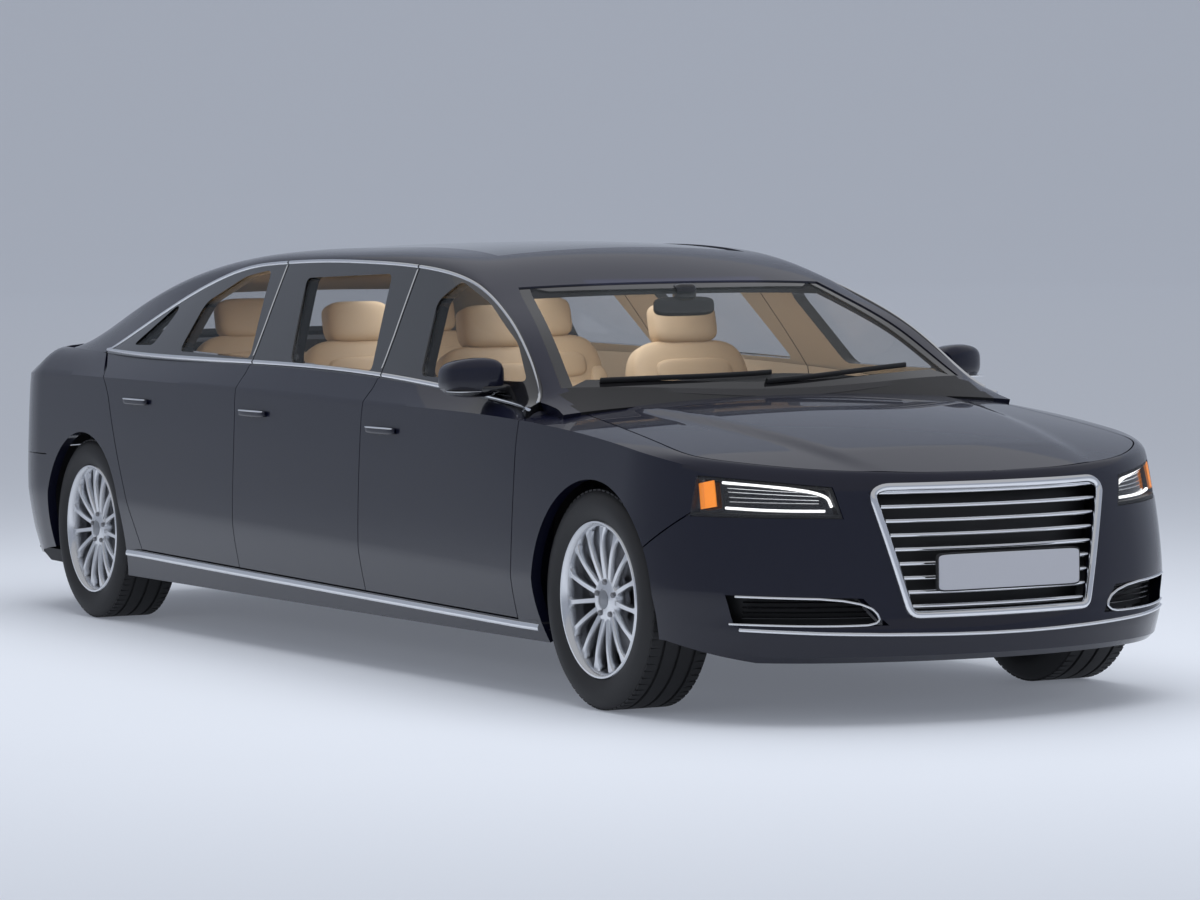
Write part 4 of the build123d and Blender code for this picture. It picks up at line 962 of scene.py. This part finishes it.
# wheels: a smooth tyre with a ribbed tread, a spoked rim and a brake disc
wheel = {"radius": 356.0, "y": 815.0, "sides": 96, "spokes": 15, "lugs": 76, "bolts": 5}


def radialTree():    # copies a piece about the Y axis
    tree = bpy.data.node_groups.new("radialCopies", "GeometryNodeTree")
    tree.interface.new_socket("Geometry", in_out="INPUT", socket_type="NodeSocketGeometry")
    tree.interface.new_socket("Count", in_out="INPUT", socket_type="NodeSocketInt")
    tree.interface.new_socket("Finish", in_out="INPUT", socket_type="NodeSocketMaterial")
    tree.interface.new_socket("Geometry", in_out="OUTPUT", socket_type="NodeSocketGeometry")
    make = tree.nodes.new
    source, sink = make("NodeGroupInput"), make("NodeGroupOutput")
    points, index, turn = make("GeometryNodePoints"), make("GeometryNodeInputIndex"), make("ShaderNodeMath")
    step, angle = make("ShaderNodeMath"), make("ShaderNodeCombineXYZ")
    copies, real = make("GeometryNodeInstanceOnPoints"), make("GeometryNodeRealizeInstances")
    finish = make("GeometryNodeSetMaterial")
    step.operation, turn.operation = "DIVIDE", "MULTIPLY"
    step.inputs[0].default_value = math.tau
    link = tree.links.new
    link(source.outputs["Count"], points.inputs["Count"])
    link(source.outputs["Count"], step.inputs[1])
    link(index.outputs[0], turn.inputs[0])
    link(step.outputs[0], turn.inputs[1])
    link(turn.outputs[0], angle.inputs["Y"])
    link(points.outputs[0], copies.inputs["Points"])
    link(source.outputs["Geometry"], copies.inputs["Instance"])
    link(angle.outputs[0], copies.inputs["Rotation"])
    link(copies.outputs[0], real.inputs[0])
    link(real.outputs[0], finish.inputs["Geometry"])
    link(source.outputs["Finish"], finish.inputs["Material"])
    link(finish.outputs[0], sink.inputs[0])
    return tree


copyTree = radialTree()


def aroundAxle(obj, count, mat):
    mod = obj.modifiers.new("copies", "NODES")
    mod.node_group = copyTree
    for item in copyTree.interface.items_tree:
        if item.in_out == "INPUT" and item.name == "Count":
            mod[item.identifier] = count
        if item.in_out == "INPUT" and item.name == "Finish":
            mod[item.identifier] = mat
    bake(obj)
    return obj


def turned(name, profile, mat, sides):    # a ring about the Y axis from a closed profile of (outwards, radius)
    a = np.linspace(0, math.tau, sides, endpoint=False)
    q = np.asarray(profile, float)
    out, r = q[None, :, 0], q[None, :, 1]
    verts = np.stack([np.cos(a)[:, None] * r, -out + 0 * a[:, None], np.sin(a)[:, None] * r], 2)
    m = len(q)
    faces = [(i * m + j, i * m + (j + 1) % m, ((i + 1) % sides) * m + (j + 1) % m, ((i + 1) % sides) * m + j)
             for i in range(sides) for j in range(m)]
    obj = outward(meshObj(name, verts.reshape(-1, 3), faces, mat, None))
    obj.data.set_sharp_from_angle(angle=math.radians(35))
    return obj


def tread():    # tread profile with three rain grooves, then the side walls down to the bead
    top = [(-98, 352)]
    for groove in (-58, 0, 58):
        top += [(groove - 6, 354.6), (groove - 4, 347), (groove + 4, 347), (groove + 6, 354.6)]
    top += [(98, 352)]
    wall = [(108, 347), (118, 336), (125, 318), (127, 302), (125, 288), (120, 272), (114, 262), (112, 257)]
    inner = [(100, 256), (100, 242), (-100, 242), (-100, 256)]
    return top + wall + inner + [(-a, b) for a, b in wall[::-1]]


tyreMesh = turned("tyreMesh", tread(), rubber, wheel["sides"])
lug = meshObj("lugMesh", [(x, y, z) for z in (346, 354.4) for y in (-104, -68, 68, 104) for x in (-10.5, 10.5)],
              [(0, 1, 3, 2), (8, 10, 11, 9), (0, 8, 9, 1), (2, 3, 11, 10), (0, 2, 10, 8), (1, 9, 11, 3),
               (4, 5, 7, 6), (12, 14, 15, 13), (4, 12, 13, 5), (6, 7, 15, 14), (4, 6, 14, 12), (5, 13, 15, 7)],
              rubber, None, False)
aroundAxle(lug, wheel["lugs"], rubber)

lip = [(-110, 255), (-100, 255), (-98, 240), (96, 240), (100, 255), (110, 256), (115, 252), (115, 246), (109, 239),
       (98, 234), (60, 228), (-108, 233)]
rimMesh = turned("rimMesh", lip, alloy, wheel["sides"])
spoke = {"root": 52, "tip": 238, "steps": 12, "at": (0, 0.15, 0.8, 1), "half": (10.5, 10, 8.5, 21), "flat": 0.72,
         "face": 84, "swell": 22, "fall": 10, "bevel": 6, "depth": 30}
verts = []
for t in np.linspace(0, 1, spoke["steps"]):
    w = np.interp(t, spoke["at"], spoke["half"])
    out = spoke["face"] + spoke["swell"] * math.sin(t * math.pi / 2) - spoke["fall"] * t**3
    section = [(w, out - spoke["depth"]), (w, out - spoke["bevel"]), (w * spoke["flat"], out)]
    section = [(-a, b) for a, b in section] + section[::-1]
    verts += [(a, -b, spoke["root"] + (spoke["tip"] - spoke["root"]) * t) for a, b in section]
n, last = len(section), len(verts) - len(section)
faces = [(i + j, i + (j + 1) % n, i + n + (j + 1) % n, i + n + j) for i in range(0, last, n) for j in range(n)]
faces += [tuple(range(n)), tuple(last + j for j in range(n))[::-1]]
spokeMesh = outward(meshObj("spokeMesh", verts, faces, alloy, None))
spokeMesh.data.set_sharp_from_angle(angle=math.radians(35))
aroundAxle(spokeMesh, wheel["spokes"], alloy)
hubForm = [(40, 0.5), (40, 78), (74, 78), (86, 70), (88, 40), (90, 34), (93, 30), (94, 0.5)]
hubMesh = turned("hubMesh", hubForm, alloy, 64)
boltMesh = turned("boltMesh", [(80, 0.2), (80, 9), (91, 9), (93, 7), (93, 0.2)], steel, 16)
boltMesh.data.transform(Matrix.Translation((0, 0, 0.056)))
aroundAxle(boltMesh, wheel["bolts"], steel)
discMesh = turned("discMesh", [(12, 60), (12, 178), (26, 178), (26, 60)], steel, 64)
capMat = material("capFace", (0.25, 0.26, 0.28), 0.35, 0.6)
capMesh = turned("capMesh", [(93, 0.2), (93, 31), (96, 27), (97, 0.2)], capMat, 40)


def joined(name, pieces):
    data = bpy.data.meshes.new(name)
    bm = bmesh.new()
    mats = []
    for piece in pieces:
        start = len(bm.faces)
        bm.from_mesh(piece.data)
        bm.faces.ensure_lookup_table()
        for face in bm.faces[start:]:
            mat = piece.data.materials[min(face.material_index, len(piece.data.materials) - 1)]
            if mat not in mats:
                mats.append(mat)
            face.material_index = mats.index(mat)
    bm.to_mesh(data)
    bm.free()
    for mat in mats:
        data.materials.append(mat)
    obj = bpy.data.objects.new(name, data)
    scene.collection.objects.link(obj)
    drop(*pieces)
    return obj


tyreMesh = joined("tyre", [tyreMesh, lug])
rimMesh = joined("rim", [rimMesh, spokeMesh, hubMesh, boltMesh, discMesh, capMesh])
for master in (tyreMesh, rimMesh):
    for axle, ax in axles.items():
        for side in ("right", "left"):
            obj = bpy.data.objects.new(f"{master.name}Dressed_{axle}_{side}", master.data.copy())
            scene.collection.objects.link(obj)
            obj.data.transform(Matrix.Translation(Vector((ax, -wheel["y"], wheel["radius"])) * 0.001))
            if side == "left":
                toLeft(obj)
            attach(obj, f"wheel_{axle}_{side}")
            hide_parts(f"{master.name}_{axle}_{side}")
drop(tyreMesh, rimMesh)
print("wheels")

# cabin: six padded seats, the steering wheel, the inner mirror and the wipers
seat = {"rows": (560, -560, -1560), "y": 390, "pivot": (70, 0, 560), "foldZ": (660, 780, 900, 1020)}
plain = (20, 28)
seatForms = [    # name, ending, place from the row's middle, half sizes, squareness, counts, lean in degrees
    ("Cushion", "", (262, 0, 540), (268, 262, 62), 0.42, (24, 36), 0),
    ("Base", "", (262, 0, 380), (230, 235, 125), 0.2, plain, 0),
    ("Back", "", (40, 0, 850), (62, 245, 300), 0.42, (28, 36), -17),
    ("Head", "", (30, 0, 1215), (46, 132, 78), 0.45, plain, -14)]
for k in (-1, 1):
    seatForms.append(("Wing", f"_{k}", (76, k * 205, 800), (54, 42, 215), 0.6, plain, -17))
    seatForms.append(("Edge", f"_{k}", (280, k * 215, 592), (225, 44, 36), 0.6, plain, 0))
seatForms += [("Fold", f"_{k}", (92, 0, z), (22, 158, 52), 0.5, (14, 20), -17) for k, z in enumerate(seat["foldZ"])]


def tilted(obj, pivot, degrees):
    there = Matrix.Translation(Vector(pivot) * 0.001)
    obj.data.transform(there @ Matrix.Rotation(math.radians(degrees), 4, "Y") @ there.inverted())


for row, x in enumerate(seat["rows"]):
    for side, tag in ((-1, "right"), (1, "left")):
        middle = np.array((x, side * seat["y"], 0))
        for form, ending, place, half, power, count, lean in seatForms:
            mat = dashSkin if form == "Base" else leather
            piece = bar(f"seat{form}_{row}_{tag}{ending}", middle + place, half, power, mat, "car", count)
            if lean:
                tilted(piece, middle + seat["pivot"], lean)
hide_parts("seats")

helm = {"radius": 182, "grip": 15, "around": 64, "section": 14, "lean": 24, "at": (1.170, 0.390, 0.815)}
n, m = helm["around"], helm["section"]
a, b = np.meshgrid(np.linspace(0, math.tau, n, endpoint=False),
                   np.linspace(0, math.tau, m, endpoint=False), indexing="ij")
reach = helm["radius"] + helm["grip"] * np.cos(b)
ring = np.stack([helm["grip"] * np.sin(b), reach * np.cos(a), reach * np.sin(a)], 2)
faces = [(i * m + j, (i + 1) % n * m + j, (i + 1) % n * m + (j + 1) % m, i * m + (j + 1) % m)
         for i in range(n) for j in range(m)]
helmParts = [meshObj("wheelGrip", ring.reshape(-1, 3), faces, dashSkin, None),
             bar("wheelPad", (8, 0, 0), (26, 74, 62), 0.55, dashSkin, None),
             bar("wheelArmA", (6, 118, 6), (8, 62, 16), 0.5, steel, None),
             bar("wheelArmB", (6, -118, 6), (8, 62, 16), 0.5, steel, None),
             bar("wheelArmC", (6, 0, -118), (8, 20, 62), 0.5, steel, None),
             bar("wheelStalk", (70, 0, 0), (70, 28, 28), 0.4, dashSkin, None)]
steering = joined("steeringWheel", helmParts)
steering.data.transform(Matrix.Translation(helm["at"]) @ Matrix.Rotation(math.radians(helm["lean"]), 4, "Y"))
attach(steering, "steering_wheel")
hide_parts("steering_wheel")
bar("innerMirror", (1135, 0, 1262), (14, 120, 34), 0.5, blackGloss, "car")
bar("innerMirrorFoot", (1140, 0, 1312), (26, 40, 30), 0.5, blackGloss, "car")
for k, (y0, y1) in enumerate(((-640, -20), (-60, 560))):
    y = np.linspace(y0, y1, 40)
    x = 1684 + 148 * (1 - (y / 778) ** 2) - np.interp(y, (y0, y1), (34, 74))
    points = np.stack([x, y, roofZ(x, y) + 2], 1)
    strip(f"wiper_{k}", points, np.tile((0.45, 0, 0.9), (40, 1)), 14, 12, blackMatt, "car")
print("cabin")

scene.render.engine = "CYCLES"
scene.cycles.samples = 96
scene.cycles.use_denoising = True
scene.render.resolution_x = 1024
scene.render.resolution_y = 768
scene.view_settings.view_transform = "Standard"

low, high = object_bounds()
print("done")
